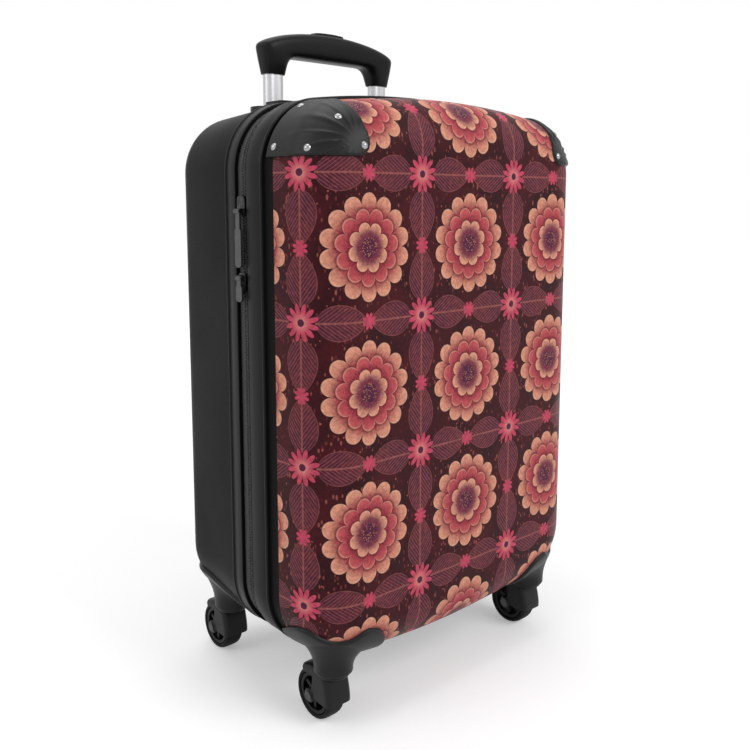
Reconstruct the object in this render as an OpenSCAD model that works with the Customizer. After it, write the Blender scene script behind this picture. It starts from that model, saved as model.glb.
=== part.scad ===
// Cabin trolley case: two drafted shells that a zip closes on three sides,
// four swivel casters in corner brackets and a pull handle with two stages.
// Millimetres, +Z up, origin on the floor under the middle of the case,
// printed front face towards -Y.

/* [Case] */
// Width over the rims
case_w = 346; // [320:1:400]
// Height from the lowest to the highest point of the rims
case_h = 498; // [460:1:560]
// Depth from the front face to the back face
case_d = 224; // [200:1:260]
// Height of the rims' lowest point above the floor
ground_gap = 48; // [46:1:60]
// Radius of the four corners, seen from the front
corner_r = 62; // [52:1:76]
// Radius of the slight crown of the top and bottom edges
crown_r = 850; // [600:10:1600]
// Radius of the edge between the back face and its walls
back_edge_r = 26; // [20:1:30]
// Radius of the edge between the front face and its walls
front_edge_r = 42; // [30:1:46]
// Lean of the walls, for drawing the shell off its mould, in degrees
draft = 4; // [2:0.5:6]
// Thickness of the shells
wall = 2.2; // [1.6:0.1:3]
// Thickness of the printed film on the front shell
film_t = 0.6; // [0.3:0.1:1]
// Gap between pieces that are fixed to each other
fit_gap = 0.1; // [0.05:0.05:0.2]
// Gap between pieces that slide on each other
slide_gap = 0.35; // [0.3:0.05:0.6]

/* [Rims and zip] */
// Distance of the zip's middle from the front face
zip_from_front = 100.5; // [85:0.5:120]
// Gap between the two rims, where the zip lies
zip_w = 17; // [14:0.5:22]
// Width of the rim of the back shell
back_rim_w = 15.5; // [12:0.5:20]
// Width of the rim of the front shell
front_rim_w = 22.5; // [14:0.5:26]
// Thickness of the rims
rim_t = 1.8; // [1.4:0.1:2.6]
// Radius of the bead along the far edge of a rim
bead_r = 1.3; // [1:0.1:1.6]
// Bare border between the front rim and the printed film
border_w = 12; // [8:0.5:16]
// Thickness of the zip's tape
tape_t = 0.8; // [0.6:0.1:1.2]
// Width of the tape that is glued inside a shell
tape_glue = 8; // [6:0.5:12]
// Radius of one half of the zip's coil
coil_r = 1.5; // [1.2:0.1:1.8]
// Distance of the lid's hinge line outside the rims
hinge_out = 1.5; // [1:0.1:3]

/* [Corner guards] */
// Reach of a guard over the front, from the side of the case
guard_w = 58; // [52:1:62]
// Reach of a guard over the front, from the top of the case
guard_h = 60; // [45:1:75]
// Thickness of a guard
guard_t = 1.9; // [1.4:0.1:2.4]
// Radius of a guard's inner corner
guard_round = 12; // [8:1:20]
// Lean of a guard's inner edge, in degrees
guard_lean = 25; // [20:1:35]
// Diameter of a rivet's head
rivet_d = 6; // [4:0.5:8]

/* [Wheel brackets] */
// Reach of a bracket along the bottom, from the side of the case
bracket_w = 80; // [68:1:95]
// Reach of a bracket up the case, from its lowest point
bracket_h = 47; // [40:1:60]
// Thickness of a bracket's skin
bracket_t = 3; // [2.2:0.1:3.5]
// Radius of the upper inner corner of a bracket
bracket_round = 25; // [12:1:32]
// Radius of the curve that the rear brackets run down along the side
rear_sweep_r = 260; // [200:5:340]
// Distance of that curve's highest point behind the back face
rear_sweep_y = 10; // [0:1:30]
// Diameter of the drum that takes a caster's stem
drum_d = 33; // [28:1:38]

/* [Casters] */
// Diameter of a wheel
wheel_d = 46; // [40:1:48]
// Width of a tyre
wheel_w = 18; // [14:1:22]
// Distance of the axle behind the swivel axis
trail = 18; // [14:1:20]
// Distance of the swivel axis from the side of the case
swivel_side = 41; // [36:1:46]
// Distance of the swivel axis from the front or back face
swivel_face = 31; // [28:1:36]
// Diameter of the swivel stem
stem_d = 9; // [7:0.5:11]
// Length of the stem in its drum
stem_l = 10; // [7:0.5:11]
// Diameter of the axle
axle_d = 6; // [5:0.5:7]
// Running gap around the stem and the axle
running_gap = 0.05; // [0.02:0.01:0.1]
// Thickness of the fork's arms
arm_t = 3.2; // [2.5:0.1:4]
// Thickness of the fork's crown and fender
crown_t = 2.6; // [2:0.1:3]
// Gap between the wheel and the fork
wheel_gap = 1; // [0.8:0.1:1.5]
// Number of spokes
spokes = 6; // [4:1:8]
// Thickness of a tyre
tyre_t = 5; // [4:0.5:6]

/* [Pull handle] */
// Distance between the middles of the two tubes
tube_span = 136; // [116:1:150]
// Width of the inner tubes
tube_w = 21; // [18:0.5:24]
// Depth of the inner tubes
tube_d = 13; // [11:0.5:15]
// Wall of the tubes
tube_wall = 1.2; // [0.9:0.1:1.5]
// Distance of the tubes' middle from the back face
tube_in = 24; // [21:0.5:28]
// Height of the handle above its lowest place, as it stands here
handle_raise = 29; // [10:1:40]
// Width of the grip over its shoulders
grip_w = 168; // [164:1:200]
// Height of the grip
grip_h = 47; // [42:1:60]
// Depth of the grip
grip_d = 26; // [22:1:30]
// Thickness of the grip's bar in the middle
bar_t = 27; // [22:1:30]
// Height of a grip's leg below its shoulder
leg_h = 29; // [22:1:34]
// Width of a leg at its foot
leg_w = 26; // [25:0.5:30]
// Length of the release button
button_l = 40; // [30:1:50]
// Travel of the release button
button_travel = 3; // [2:0.5:4]
// Height of the bezel's rim above the shell
bezel_rise = 5; // [4:0.5:7]

/* [Zip sliders] */
// Height of the upper slider's middle above the floor
slider_high = 447.5; // [430:0.5:460]
// Height of the lower slider's middle above the floor
slider_low = 383; // [340:0.5:395]
// Length of a slider
slider_l = 17; // [14:0.5:20]
// Width of a slider
slider_w = 11.5; // [9:0.5:13]
// Length of the upper pull tab
tab_l_high = 47; // [30:1:48]
// Length of the lower pull tab
tab_l_low = 20; // [14:1:30]
// Width of a pull tab
tab_w = 9; // [8:0.5:11]
// Thickness of a pull tab
tab_t = 2; // [1.5:0.1:2.4]

/* [Carry handles] */
// Length of a carry handle's strap
strap_l = 170; // [150:1:190]
// Width of the strap
strap_w = 22; // [18:1:26]
// Thickness of the strap
strap_t = 3.4; // [2.5:0.1:4.5]
// Height of the strap's underside above the shell, in the middle
strap_gap = 4.4; // [3:0.1:6]
// Length of an end cap
cap_l = 34; // [28:1:40]

/* [Inside] */
// Thickness of the board that covers the tubes
board_t = 3; // [2:0.5:4]
// Thickness of the lining
lining_t = 1; // [0.6:0.1:1.5]
// Width of the packing straps
webbing_w = 25; // [20:1:30]
// Thickness of the packing straps
webbing_t = 1.2; // [0.8:0.1:1.6]

/* [Hidden] */
$fn = 72;
crown_fn = 480;

// Outline of the case, seen from the front
half_w = case_w / 2;
half_h = case_h / 2;
case_mid_z = ground_gap + half_h;
corner_x = half_w - corner_r;
crown_y = half_h - crown_r;
corner_y = crown_y + sqrt(pow(crown_r - corner_r, 2) - pow(corner_x, 2));
crown_turn = asin(corner_x / (crown_r - corner_r));
corner_turn = 90 - crown_turn;

// Depths, measured towards the front from the middle of the case
zip_v = case_d / 2 - zip_from_front;
front_open = zip_v + zip_w / 2;
back_open = zip_v - zip_w / 2;
front_depth = case_d / 2 - front_open;
back_depth = case_d / 2 + back_open;
film_from = front_rim_w + border_w;
cover_from = front_rim_w + border_w / 3;
film_out = film_t + fit_gap;

// Wall of a shell in section: u is the distance outside the outline,
// d the distance from the shell's open edge towards its face
edge_u = -rim_t;
function wall_u(d, off) = edge_u + off / cos(draft) - tan(draft) * d;
function edge_r(depth) = depth == front_depth ? front_edge_r : back_edge_r;
function edge_d(depth) = depth - edge_r(depth);
function edge_centre_u(depth) = wall_u(edge_d(depth), -edge_r(depth));
far = 4 * corner_r;

// Colours
shell_black = [0.09, 0.09, 0.095];
moulded_black = [0.13, 0.13, 0.135];
print_red = [0.40, 0.10, 0.14];
tape_black = [0.05, 0.05, 0.055];
bright_metal = [0.80, 0.80, 0.82];
lining_grey = [0.30, 0.30, 0.32];

// Frames: x to the right, y up and z towards the viewer, seen from the front
module case_frame() {
    translate([0, 0, case_mid_z]) rotate([90, 0, 0]) children();
}
// In a half's own frame z runs from its open edge towards its face
module front_frame() {
    case_frame() translate([0, 0, front_open]) children();
}
module back_frame() {
    case_frame() translate([0, 0, back_open]) rotate([0, 180, 0]) children();
}

// Carries a section (u, d) along the case's outline: the first child round the corners, the second,
// which lies a seam's width inside the first, along the sides and ends and a little into the corners
seam = 0.03;
hair = 0.02;
reach = 1.1;
module side_run() {
    translate([half_w, 0, 0]) rotate([90, 0, 0])
        linear_extrude(2 * (corner_y + reach), center = true) children();
}
module end_run() {
    turn = crown_turn + reach / crown_r * 180 / PI;
    translate([0, crown_y, 0]) rotate([0, 0, 90 - turn])
        rotate_extrude(angle = 2 * turn, $fn = crown_fn) translate([crown_r, 0]) children();
}
module corner_run() {
    translate([corner_x, corner_y, 0])
        rotate_extrude(angle = corner_turn) translate([corner_r, 0]) children();
}
module around() {
    for (side = [0, 1], end = [0, 1]) mirror([side, 0, 0]) mirror([0, end, 0]) corner_run() children(0);
    for (turn = [0, 180]) rotate([0, 0, turn]) {
        side_run() children(1);
        end_run() children(1);
    }
}

// The case's outline, grown outwards
module outline(grow) {
    reach = [corner_x + far * sin(crown_turn), corner_y + far * cos(crown_turn)];
    square([case_w + 2 * grow, 2 * corner_y], center = true);
    for (turn = [0, 180]) rotate(turn) {
        intersection() {
            translate([0, crown_y]) circle(crown_r + grow, $fn = crown_fn);
            polygon([[-corner_x, corner_y], [corner_x, corner_y], reach, [-reach.x, reach.y]]);
        }
        for (side = [-1, 1]) translate([side * corner_x, corner_y]) circle(corner_r + grow);
    }
}

// Rounded edge at an offset, as flat steps that touch it from outside
edge_steps = 9;
function edge_points(depth, off) = let (step = (90 - draft) / edge_steps)
    [for (k = [0 : edge_steps - 1]) [edge_centre_u(depth), edge_d(depth)]
        + (edge_r(depth) + off) / cos(step / 2) * [cos(draft + (k + 0.5) * step), sin(draft + (k + 0.5) * step)]];
function turned(points) = [for (k = [len(points) - 1 : -1 : 0]) points[k]];

// Layer between two offsets of a shell's outer face, with some of its flat face
module layer_section(depth, from, inner, outer, flat) {
    flat_u = edge_centre_u(depth) - flat;
    polygon(concat([[wall_u(from, inner), from], [wall_u(from, outer), from]], edge_points(depth, outer),
        [[flat_u, depth + outer], [flat_u, depth + inner]], turned(edge_points(depth, inner))));
}
module shell_layer(depth, from, inner, outer) {
    around() {
        layer_section(depth, from, inner, outer, 0);
        layer_section(depth, from + seam, inner + seam, outer - seam, 0);
    }
    translate([0, 0, depth + inner + 2 * seam]) linear_extrude(outer - inner - 4 * seam)
        outline(edge_centre_u(depth) + reach);
}
// Everything inside an offset of the outer face, as deep as a corner's radius allows
module filled_section(depth, off) {
    core_u = 5 - corner_r;
    polygon(concat([[core_u, 0], [wall_u(0, off), 0]], edge_points(depth, off), [[core_u, depth + off]]));
}

// Rim: a band on the shell's edge with a bead along its far side
module rim_section(width, inset) {
    band_u = -bead_r / 2 - inset;
    polygon([[edge_u + inset, 0], [band_u, 0], [band_u, width - 2 * bead_r], [-inset, width - 1.4 * bead_r],
        [-inset, width - 0.6 * bead_r], [band_u, width], [wall_u(width, inset), width]]);
}
module rim(width) {
    around() {
        rim_section(width, 0);
        rim_section(width, seam);
    }
}

// Tape glued inside a shell, with half of the coil on its free edge. It stands straight, so it
// keeps inside the place where the leaning wall is narrowest
tape_u = wall_u(tape_glue, -wall - fit_gap);
coil_free = zip_w / 2 - slide_gap / 2;
module band(low, high, inner, outer) {
    translate([0, 0, low]) linear_extrude(high - low) difference() {
        outline(outer);
        outline(inner);
    }
}
// Takes away the side of a half on which the lid is hinged
module zipped_sides(side) {
    difference() {
        children();
        translate([side * case_w / 2, 0, 0]) cube([case_w / 2, 2 * corner_y, case_d], center = true);
    }
}
module zip_tape(side) {
    zipped_sides(side) {
        band(-coil_free, 2 * coil_r - coil_free, tape_u - tape_t, tape_u + coil_r);
        band(2 * coil_r - coil_free, tape_glue, tape_u - tape_t, tape_u);
    }
}

// Back half
module back_shell() {
    color(shell_black) difference() {
        back_frame() shell_layer(back_depth, 0, -wall, 0);
        bezel_opening();
    }
}
module back_rim() {
    color(moulded_black) back_frame() rim(back_rim_w);
}
module back_zip_tape() {
    color(tape_black) back_frame() zip_tape(-1);
}
// Cloth hinge of the lid: it spans the gap and ends short of the front half's rim
module hinge_tape() {
    free = zip_w - 2 * slide_gap;
    color(tape_black) back_frame() translate([-half_w - tape_u, -corner_y + 1, -free])
        cube([tape_t, 2 * (corner_y - 1), free + tape_glue]);
}
board_v = tube_in + tube_section_d(2) / 2 + slide_gap;
board_d = back_depth - board_v - board_t;
module tube_cover_board() {
    notch_low = bezel_low - case_mid_z - 2;
    color(lining_grey) back_frame() translate([0, 0, board_d]) linear_extrude(board_t) difference() {
        outline(wall_u(board_d + board_t, -wall - 2 * fit_gap));
        translate([-bezel_w / 2 - 2, notch_low]) square([bezel_w + 4, case_h]);
    }
}
module back_lining() {
    outer = -wall - 2 * fit_gap;
    floor_d = board_d - fit_gap;
    color(lining_grey) back_frame() {
        around() {
            lining_wall(floor_d, 0, outer - lining_t, outer);
            lining_wall(floor_d, seam, outer - lining_t + seam, outer - seam);
        }
        translate([0, 0, floor_d - lining_t - 2 * seam]) linear_extrude(lining_t)
            outline(wall_u(floor_d, outer - lining_t / 2));
    }
}
module lining_wall(floor_d, short, inner, outer) {
    low = tape_glue + 1 + short;
    high = floor_d - short;
    polygon([[wall_u(low, inner), low], [wall_u(low, outer), low],
        [wall_u(high, outer), high], [wall_u(high, inner), high]]);
}

// Packing straps: two bands across the back half that meet in a buckle
strap_floor = board_d - fit_gap - lining_t - fit_gap;
buckle_l = 62;
buckle_w = 34;
buckle_t = 7;
module packing_strap(side) {
    reach = half_w - corner_r / 3;
    color(tape_black) back_frame() translate([0, 0, strap_floor - webbing_t])
        linear_extrude(webbing_t) for (height = [-1, 1])
            translate([-side * (reach + buckle_l / 2) / 2, height * case_h / 8])
                square([reach - buckle_l / 2, webbing_w], center = true);
}
module packing_strap_left() {
    packing_strap(-1);
}
module packing_strap_right() {
    packing_strap(1);
}
module strap_buckle() {
    color(moulded_black) back_frame() translate([0, 0, strap_floor - buckle_t])
        linear_extrude(buckle_t) for (height = [-1, 1]) translate([0, height * case_h / 8]) difference() {
            square([buckle_l - 2 * fit_gap, buckle_w], center = true);
            for (side = [-1, 1]) translate([side * buckle_l / 3, 0])
                square([buckle_l / 12, webbing_w], center = true);
        }
}

// Place of the pull handle, and the size of the bezel that its tubes slide through
tube_y = case_d / 2 - tube_in;
bezel_w = tube_span + tube_section_w(2) + 2 * bezel_rise;
bezel_d = tube_section_d(2) + bezel_rise;

// Carry handles: a flexible strap in a low arch between two end caps
module on_case_top() {
    translate([0, 0, ground_gap + case_h]) children();
}
module on_case_side() {
    translate([half_w, 0, case_mid_z]) rotate([0, 90, 0]) children();
}
// Their middle lies halfway between the back rim and the bezel of the pull handle
strap_y = (back_rim_w - back_open + tube_y - bezel_d / 2 - bezel_rise) / 2;
strap_seat = wall_u(strap_y + back_open - strap_w / 2, 2 * fit_gap);
strap_top = strap_seat + strap_gap + strap_t;
cap_in = strap_l / 2 - cap_l / 2;
// Strap in a frame with x along it and z outwards, from the outline; drop is its fall at the ends
module strap_arch(drop, grow) {
    arch_r = (pow(strap_l / 2, 2) + pow(drop, 2)) / (2 * drop);
    rotate([90, 0, 0]) linear_extrude(strap_w + 2 * grow, center = true) intersection() {
        translate([0, strap_top - arch_r]) difference() {
            circle(arch_r + grow, $fn = crown_fn);
            circle(arch_r - strap_t - grow, $fn = crown_fn);
        }
        translate([0, strap_top - drop / 2]) square([strap_l + 2 * grow, 2 * drop + 2 * strap_t], center = true);
    }
}
module strap_caps(drop) {
    cap_h = strap_t + 2.5;
    difference() {
        for (side = [-1, 1]) translate([side * (cap_in + cap_l / 2), 0, strap_top - drop - strap_t])
            linear_extrude(cap_h + strap_gap, center = true) cap_outline();
        strap_arch(drop, fit_gap);
    }
}
module cap_outline() {
    round = strap_w / 3;
    square([cap_l, strap_w + 8 - 2 * round], center = true);
    square([cap_l - 2 * round, strap_w + 8], center = true);
    for (x = [-1, 1], y = [-1, 1])
        translate([x * (cap_l / 2 - round), y * (strap_w / 2 + 4 - round)]) circle(round);
}
top_drop = strap_gap + strap_l * strap_l / 8 / crown_r;
side_drop = strap_gap;
module top_handle_strap() {
    color(moulded_black) translate([0, strap_y, 0]) on_case_top() strap_arch(top_drop, 0);
}
module top_handle_caps() {
    color(moulded_black) difference() {
        translate([0, strap_y, 0]) on_case_top() strap_caps(top_drop);
        back_frame() {
            end_run() filled_section(back_depth, fit_gap);
            for (side = [0, 1]) mirror([side, 0, 0]) corner_run() filled_section(back_depth, fit_gap + seam);
        }
    }
}
module side_handle_strap() {
    color(moulded_black) translate([0, strap_y, 0]) on_case_side() strap_arch(side_drop, 0);
}
module side_handle_caps() {
    color(moulded_black) difference() {
        translate([0, strap_y, 0]) on_case_side() strap_caps(side_drop);
        back_frame() rotate([0, 0, 180]) {
            side_run() filled_section(back_depth, fit_gap);
            for (end = [0, 1]) mirror([0, end, 0]) corner_run() filled_section(back_depth, fit_gap + seam);
        }
    }
}

// Pull handle
shell_top_z = ground_gap + case_h + wall_u(back_depth - tube_in, 0);
bezel_top = shell_top_z + bezel_rise;
bezel_low = shell_top_z - 3.2 * bezel_rise;
tube_seat = 1.6 * bezel_rise;
foot_z = bezel_top + slide_gap + handle_raise;
grip_top = foot_z + grip_h;
base_z = ground_gap - edge_centre_u(back_depth) + 10;
base_h = 24;
tube_pocket = 16;
function tube_section_w(stage) = tube_w + 2 * stage * (tube_wall + slide_gap);
function tube_section_d(stage) = tube_d + 2 * stage * (tube_wall + slide_gap);
module oval(width, depth) {
    square([width - depth, depth], center = true);
    for (side = [-1, 1]) translate([side * (width - depth) / 2, 0]) circle(d = depth);
}
module tube_outline(stage, grow) {
    oval(tube_section_w(stage) + 2 * grow, tube_section_d(stage) + 2 * grow);
}
// Stage 0 is the tube that carries the grip, stage 2 the one fixed in the case
module tube(side, stage, low, high) {
    color(bright_metal) translate([side * tube_span / 2, tube_y, low])
        linear_extrude(high - low) difference() {
            tube_outline(stage, 0);
            tube_outline(stage, -tube_wall);
        }
}
module outer_tube(side) {
    tube(side, 2, base_z + base_h / 3, bezel_low + tube_seat);
}
module middle_tube(side) {
    tube(side, 1, base_z + base_h, bezel_top - 1.5);
}
module inner_tube(side) {
    tube(side, 0, base_z + base_h + handle_raise, foot_z + tube_pocket);
}
module outer_tube_left() { outer_tube(-1); }
module outer_tube_right() { outer_tube(1); }
module middle_tube_left() { middle_tube(-1); }
module middle_tube_right() { middle_tube(1); }
module inner_tube_left() { inner_tube(-1); }
module inner_tube_right() { inner_tube(1); }

// The part of the bezel that drops through the shell
module bezel_body(grow) {
    translate([0, tube_y, bezel_low]) linear_extrude(bezel_top - bezel_low)
        oval(bezel_w + 2 * grow, bezel_d + 2 * grow);
}
// The opening for it in the shell, with flat sides
module bezel_opening() {
    round = (bezel_d / 2 + fit_gap) / cos(15);
    end_x = (bezel_w - bezel_d) / 2;
    translate([0, tube_y, bezel_low]) linear_extrude(bezel_top - bezel_low)
        polygon([for (side = [1, -1], turn = [-75 : 30 : 75])
            [side * (end_x + round * cos(turn)), side * round * sin(turn)]]);
}
module handle_bezel() {
    color(moulded_black) difference() {
        union() {
            bezel_body(0);
            difference() {
                translate([0, tube_y, bezel_low]) linear_extrude(bezel_top - bezel_low)
                    oval(bezel_w + 2 * bezel_rise, bezel_d + 2 * bezel_rise);
                back_frame() end_run() filled_section(back_depth, fit_gap);
            }
        }
        for (side = [-1, 1]) translate([side * tube_span / 2, tube_y, 0]) {
            linear_extrude(bezel_top + 1) tube_outline(1, slide_gap);
            linear_extrude(bezel_low + tube_seat) tube_outline(2, fit_gap);
        }
    }
}
// Block on the back shell's inner face that holds the feet of the outer tubes
module handle_base() {
    back_y = case_d / 2 - wall;
    front_y = tube_y - tube_section_d(2) / 2 - fit_gap;
    color(moulded_black) difference() {
        translate([-bezel_w / 2, front_y, base_z]) cube([bezel_w, back_y - front_y, base_h]);
        for (side = [-1, 1]) translate([side * tube_span / 2, tube_y, base_z + base_h / 3])
            linear_extrude(base_h) tube_outline(2, fit_gap);
        translate([-tube_span / 4, front_y - 1, base_z - 1])
            cube([tube_span / 2, (back_y - front_y) / 2, base_h + 2]);
    }
}

// Grip: an arched bar on two legs that flare towards its shoulders
shoulder_z = foot_z + leg_h;
arch_rise = grip_top - shoulder_z;
arch_r = (pow(grip_w / 2, 2) + pow(arch_rise, 2)) / (2 * arch_rise);
foot_out = tube_span / 2 + leg_w / 2;
foot_in = tube_span / 2 - leg_w / 2;
gap_round = 12;
gap_top = grip_top - bar_t;
button_w = 12;
button_rise = 1.6;
module grip_outline() {
    difference() {
        intersection() {
            translate([0, grip_top - arch_r]) circle(arch_r, $fn = crown_fn);
            polygon([[-foot_out, foot_z], [foot_out, foot_z], [grip_w / 2, shoulder_z], [grip_w / 2, grip_top],
                [-grip_w / 2, grip_top], [-grip_w / 2, shoulder_z]]);
        }
        translate([-foot_in, foot_z - 1]) square([2 * foot_in, gap_top - gap_round - foot_z + 1]);
        translate([gap_round - foot_in, foot_z]) square([2 * (foot_in - gap_round), gap_top - foot_z]);
        for (side = [-1, 1]) translate([side * (foot_in - gap_round), gap_top - gap_round]) circle(gap_round);
    }
}
module grip_side() {
    round = grip_d / 3;
    translate([-grip_d / 2, foot_z - 1]) square([grip_d, grip_h + 1 - round]);
    translate([round - grip_d / 2, foot_z]) square([grip_d - 2 * round, grip_h]);
    for (side = [-1, 1]) translate([side * (grip_d / 2 - round), grip_top - round]) circle(round);
}
module button_pocket(grow) {
    floor_z = grip_top - button_travel - 10;
    translate([0, tube_y, floor_z]) linear_extrude(grip_h) oval(button_l + 2 * grow, button_w + 2 * grow);
}
module handle_grip() {
    color(moulded_black) difference() {
        translate([0, tube_y, 0]) intersection() {
            rotate([90, 0, 0]) linear_extrude(grip_d, center = true) grip_outline();
            rotate([90, 0, 90]) linear_extrude(grip_w + 1, center = true) grip_side();
        }
        button_pocket(slide_gap);
        for (side = [-1, 1]) translate([side * tube_span / 2, tube_y, foot_z - 1])
            linear_extrude(tube_pocket + 1 + fit_gap) tube_outline(0, fit_gap);
    }
}
module release_button() {
    color(moulded_black) intersection() {
        translate([0, 0, button_travel + slide_gap]) button_pocket(0);
        translate([0, tube_y, grip_top + button_rise - arch_r]) rotate([90, 0, 0])
            cylinder(r = arch_r, h = grip_d, center = true, $fn = crown_fn);
    }
}

// Front half
module front_shell() {
    color(shell_black) front_frame() shell_layer(front_depth, 0, -wall, 0);
}
// The film stands proud of the shell, from the bare border to the middle of the face
module printed_film() {
    color(print_red) front_frame() shell_layer(front_depth, film_from, fit_gap / 2, film_t);
}
module front_rim() {
    color(moulded_black) front_frame() rim(front_rim_w);
}
module front_zip_tape() {
    color(tape_black) front_frame() zip_tape(1);
}
module front_lining() {
    outer = -wall - 2 * fit_gap;
    color(lining_grey) front_frame() shell_layer(front_depth, tape_glue + 1, outer - lining_t, outer);
}

// The top right part of the front view beyond a line at each side, with the corner between the
// lines rounded; the upright line leans outwards
module corner_patch(width, height, round, lean) {
    middle = [round * (1 + sin(lean)) / cos(lean), round];
    touch = middle + round * [-cos(lean), sin(lean)];
    translate([half_w - width, half_h - height]) {
        translate(middle) circle(round - hair);
        polygon([middle, [middle.x, 0], [far, 0], [far, far], touch + far * [sin(lean), cos(lean)], touch]);
    }
}
// A skin over a corner of a half, from its axis to the wall
module corner_skin(depth, from, inner, outer) {
    corner_run() layer_section(depth, from, inner, outer, corner_r + edge_centre_u(depth));
}
module corner_guard(side) {
    turn = side > 0 ? [0, 0, 0] : [1, 0, 0];
    color(moulded_black) front_frame() mirror(turn) intersection() {
        corner_skin(front_depth, cover_from, film_out, film_out + guard_t);
        linear_extrude(2 * front_depth) corner_patch(guard_w, guard_h, guard_round, guard_lean);
    }
}
module corner_guard_left() { corner_guard(-1); }
module corner_guard_right() { corner_guard(1); }

// Rivets on the wall, the rounded edge and the face of a guard: angle round the corner from the
// side, and either the distance d along the wall or the lean round the edge
module rivet() {
    head_r = rivet_d / 2;
    dome_r = head_r * 1.25;
    rise = head_r / 2;
    translate([0, 0, film_out + guard_t + 1.5 * fit_gap]) intersection() {
        translate([0, 0, rise - dome_r]) sphere(dome_r);
        cylinder(r = head_r, h = dome_r);
    }
}
module on_wall(turn, d) {
    translate([corner_x, corner_y, 0]) rotate([0, 0, turn])
        translate([corner_r + wall_u(d, 0), 0, d]) rotate([0, 90 - draft, 0]) children();
}
module on_edge(turn, lean) {
    translate([corner_x, corner_y, 0]) rotate([0, 0, turn])
        translate([corner_r + edge_centre_u(front_depth), 0, edge_d(front_depth)])
            rotate([0, 90 - lean, 0]) translate([0, 0, front_edge_r]) children();
}
module on_front(x, y) {
    turn = atan2(y - corner_y, x - corner_x);
    beyond = norm([x - corner_x, y - corner_y]) - corner_r - edge_centre_u(front_depth);
    if (beyond > 0) on_edge(turn, acos(beyond / front_edge_r)) children();
    else translate([x, y, front_depth]) children();
}
module guard_rivets() {
    in_from_edge = rivet_d * 1.4;
    side_turn = asin((half_h - guard_h + in_from_edge - corner_y) / (corner_r + edge_u));
    color(bright_metal) front_frame() for (side = [0, 1]) mirror([side, 0, 0]) {
        on_wall(side_turn, cover_from + in_from_edge) rivet();
        on_edge(side_turn, 28) rivet();
        on_edge(57, 40) rivet();
        on_wall(60, cover_from + in_from_edge) rivet();
        on_front(half_w - guard_w + in_from_edge, half_h - guard_h + in_from_edge) rivet();
    }
}

// Wheel brackets: a skin over a bottom corner with a drum for the caster's stem
swivel_x = half_w - swivel_side;
swivel_y = case_d / 2 - swivel_face;
axle_z = wheel_d / 2;
fork_top = wheel_d + wheel_gap + crown_t;
drum_z = fork_top + slide_gap;
module stem_bore() {
    translate([0, 0, drum_z - 1]) cylinder(d = stem_d + 2 * running_gap, h = stem_l + 1 + slide_gap);
}
module drum() {
    translate([0, 0, drum_z]) cylinder(d = drum_d, h = ground_gap + bracket_h - drum_z);
}
// Toe of a bracket: runs on along the bottom edge from the corner, as a straight length
toe_end = half_w - bracket_w;
toe_start = corner_x + corner_r * sin(crown_turn) + bracket_t;
toe_turn = asin((toe_end + toe_start) / 2 / crown_r);
module toe_run() {
    translate([0, crown_y, 0]) rotate([0, 0, 90 - toe_turn]) translate([crown_r, 0, 0]) rotate([90, 0, 0])
        linear_extrude((toe_start - toe_end) / cos(toe_turn), center = true) children();
}
// Bracket on the top right corner of a half's own frame, which stands on its head here
module bracket_skin(depth, from, inner) {
    outer = inner + bracket_t;
    toe_inner = inner + 0.15 * bracket_t;
    toe_outer = inner + 0.85 * bracket_t;
    toe_flat = max(bracket_h + edge_centre_u(depth), 0) + bracket_t;
    intersection() {
        corner_skin(depth, from, inner, outer);
        linear_extrude(2 * depth) corner_patch(bracket_w, bracket_h, bracket_round, 0);
    }
    intersection() {
        toe_run() layer_section(depth, from + bracket_t, toe_inner, toe_outer, toe_flat);
        linear_extrude(2 * depth) corner_patch(bracket_w, bracket_h - 1, bracket_round, 0);
    }
}
module on_its_head() {
    mirror([0, 1, 0]) children();
}
module front_bracket(side) {
    turn = side > 0 ? [0, 0, 0] : [1, 0, 0];
    color(moulded_black) mirror(turn) front_frame() on_its_head()
        bracket_skin(front_depth, cover_from, film_out);
}
module front_bracket_left() { front_bracket(-1); }
module front_bracket_right() { front_bracket(1); }

// The rear brackets' upper edge sweeps down along the side of the case
module rear_bracket(side) {
    turn = side > 0 ? [1, 0, 0] : [0, 0, 0];
    sweep_top = ground_gap + bracket_h + 3;
    color(moulded_black) mirror(turn) intersection() {
        back_frame() on_its_head() bracket_skin(back_depth, back_rim_w + 1, fit_gap);
        translate([0, case_d / 2 + rear_sweep_y, sweep_top - rear_sweep_r]) rotate([0, 90, 0])
            cylinder(r = rear_sweep_r, h = 2 * case_w, center = true, $fn = crown_fn);
    }
}
module rear_bracket_left() { rear_bracket(-1); }
module rear_bracket_right() { rear_bracket(1); }

// Sockets: drums under the brackets that take the casters' stems
module socket_seat(depth, inner) {
    on_its_head() translate([corner_x, corner_y, 0]) rotate_extrude(angle = 100) translate([corner_r, 0])
        filled_section(depth, inner + bracket_t + fit_gap);
}
module front_socket(side) {
    turn = side > 0 ? [0, 0, 0] : [1, 0, 0];
    color(moulded_black) mirror(turn) difference() {
        translate([swivel_x, -swivel_y, 0]) drum();
        front_frame() socket_seat(front_depth, film_out);
        translate([swivel_x, -swivel_y, 0]) stem_bore();
    }
}
module rear_socket(side) {
    turn = side > 0 ? [1, 0, 0] : [0, 0, 0];
    color(moulded_black) mirror(turn) difference() {
        translate([-swivel_x, swivel_y, 0]) drum();
        back_frame() socket_seat(back_depth, fit_gap);
        translate([-swivel_x, swivel_y, 0]) stem_bore();
    }
}
module socket_front_left() { front_socket(-1); }
module socket_front_right() { front_socket(1); }
module socket_rear_left() { rear_socket(-1); }
module socket_rear_right() { rear_socket(1); }

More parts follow.
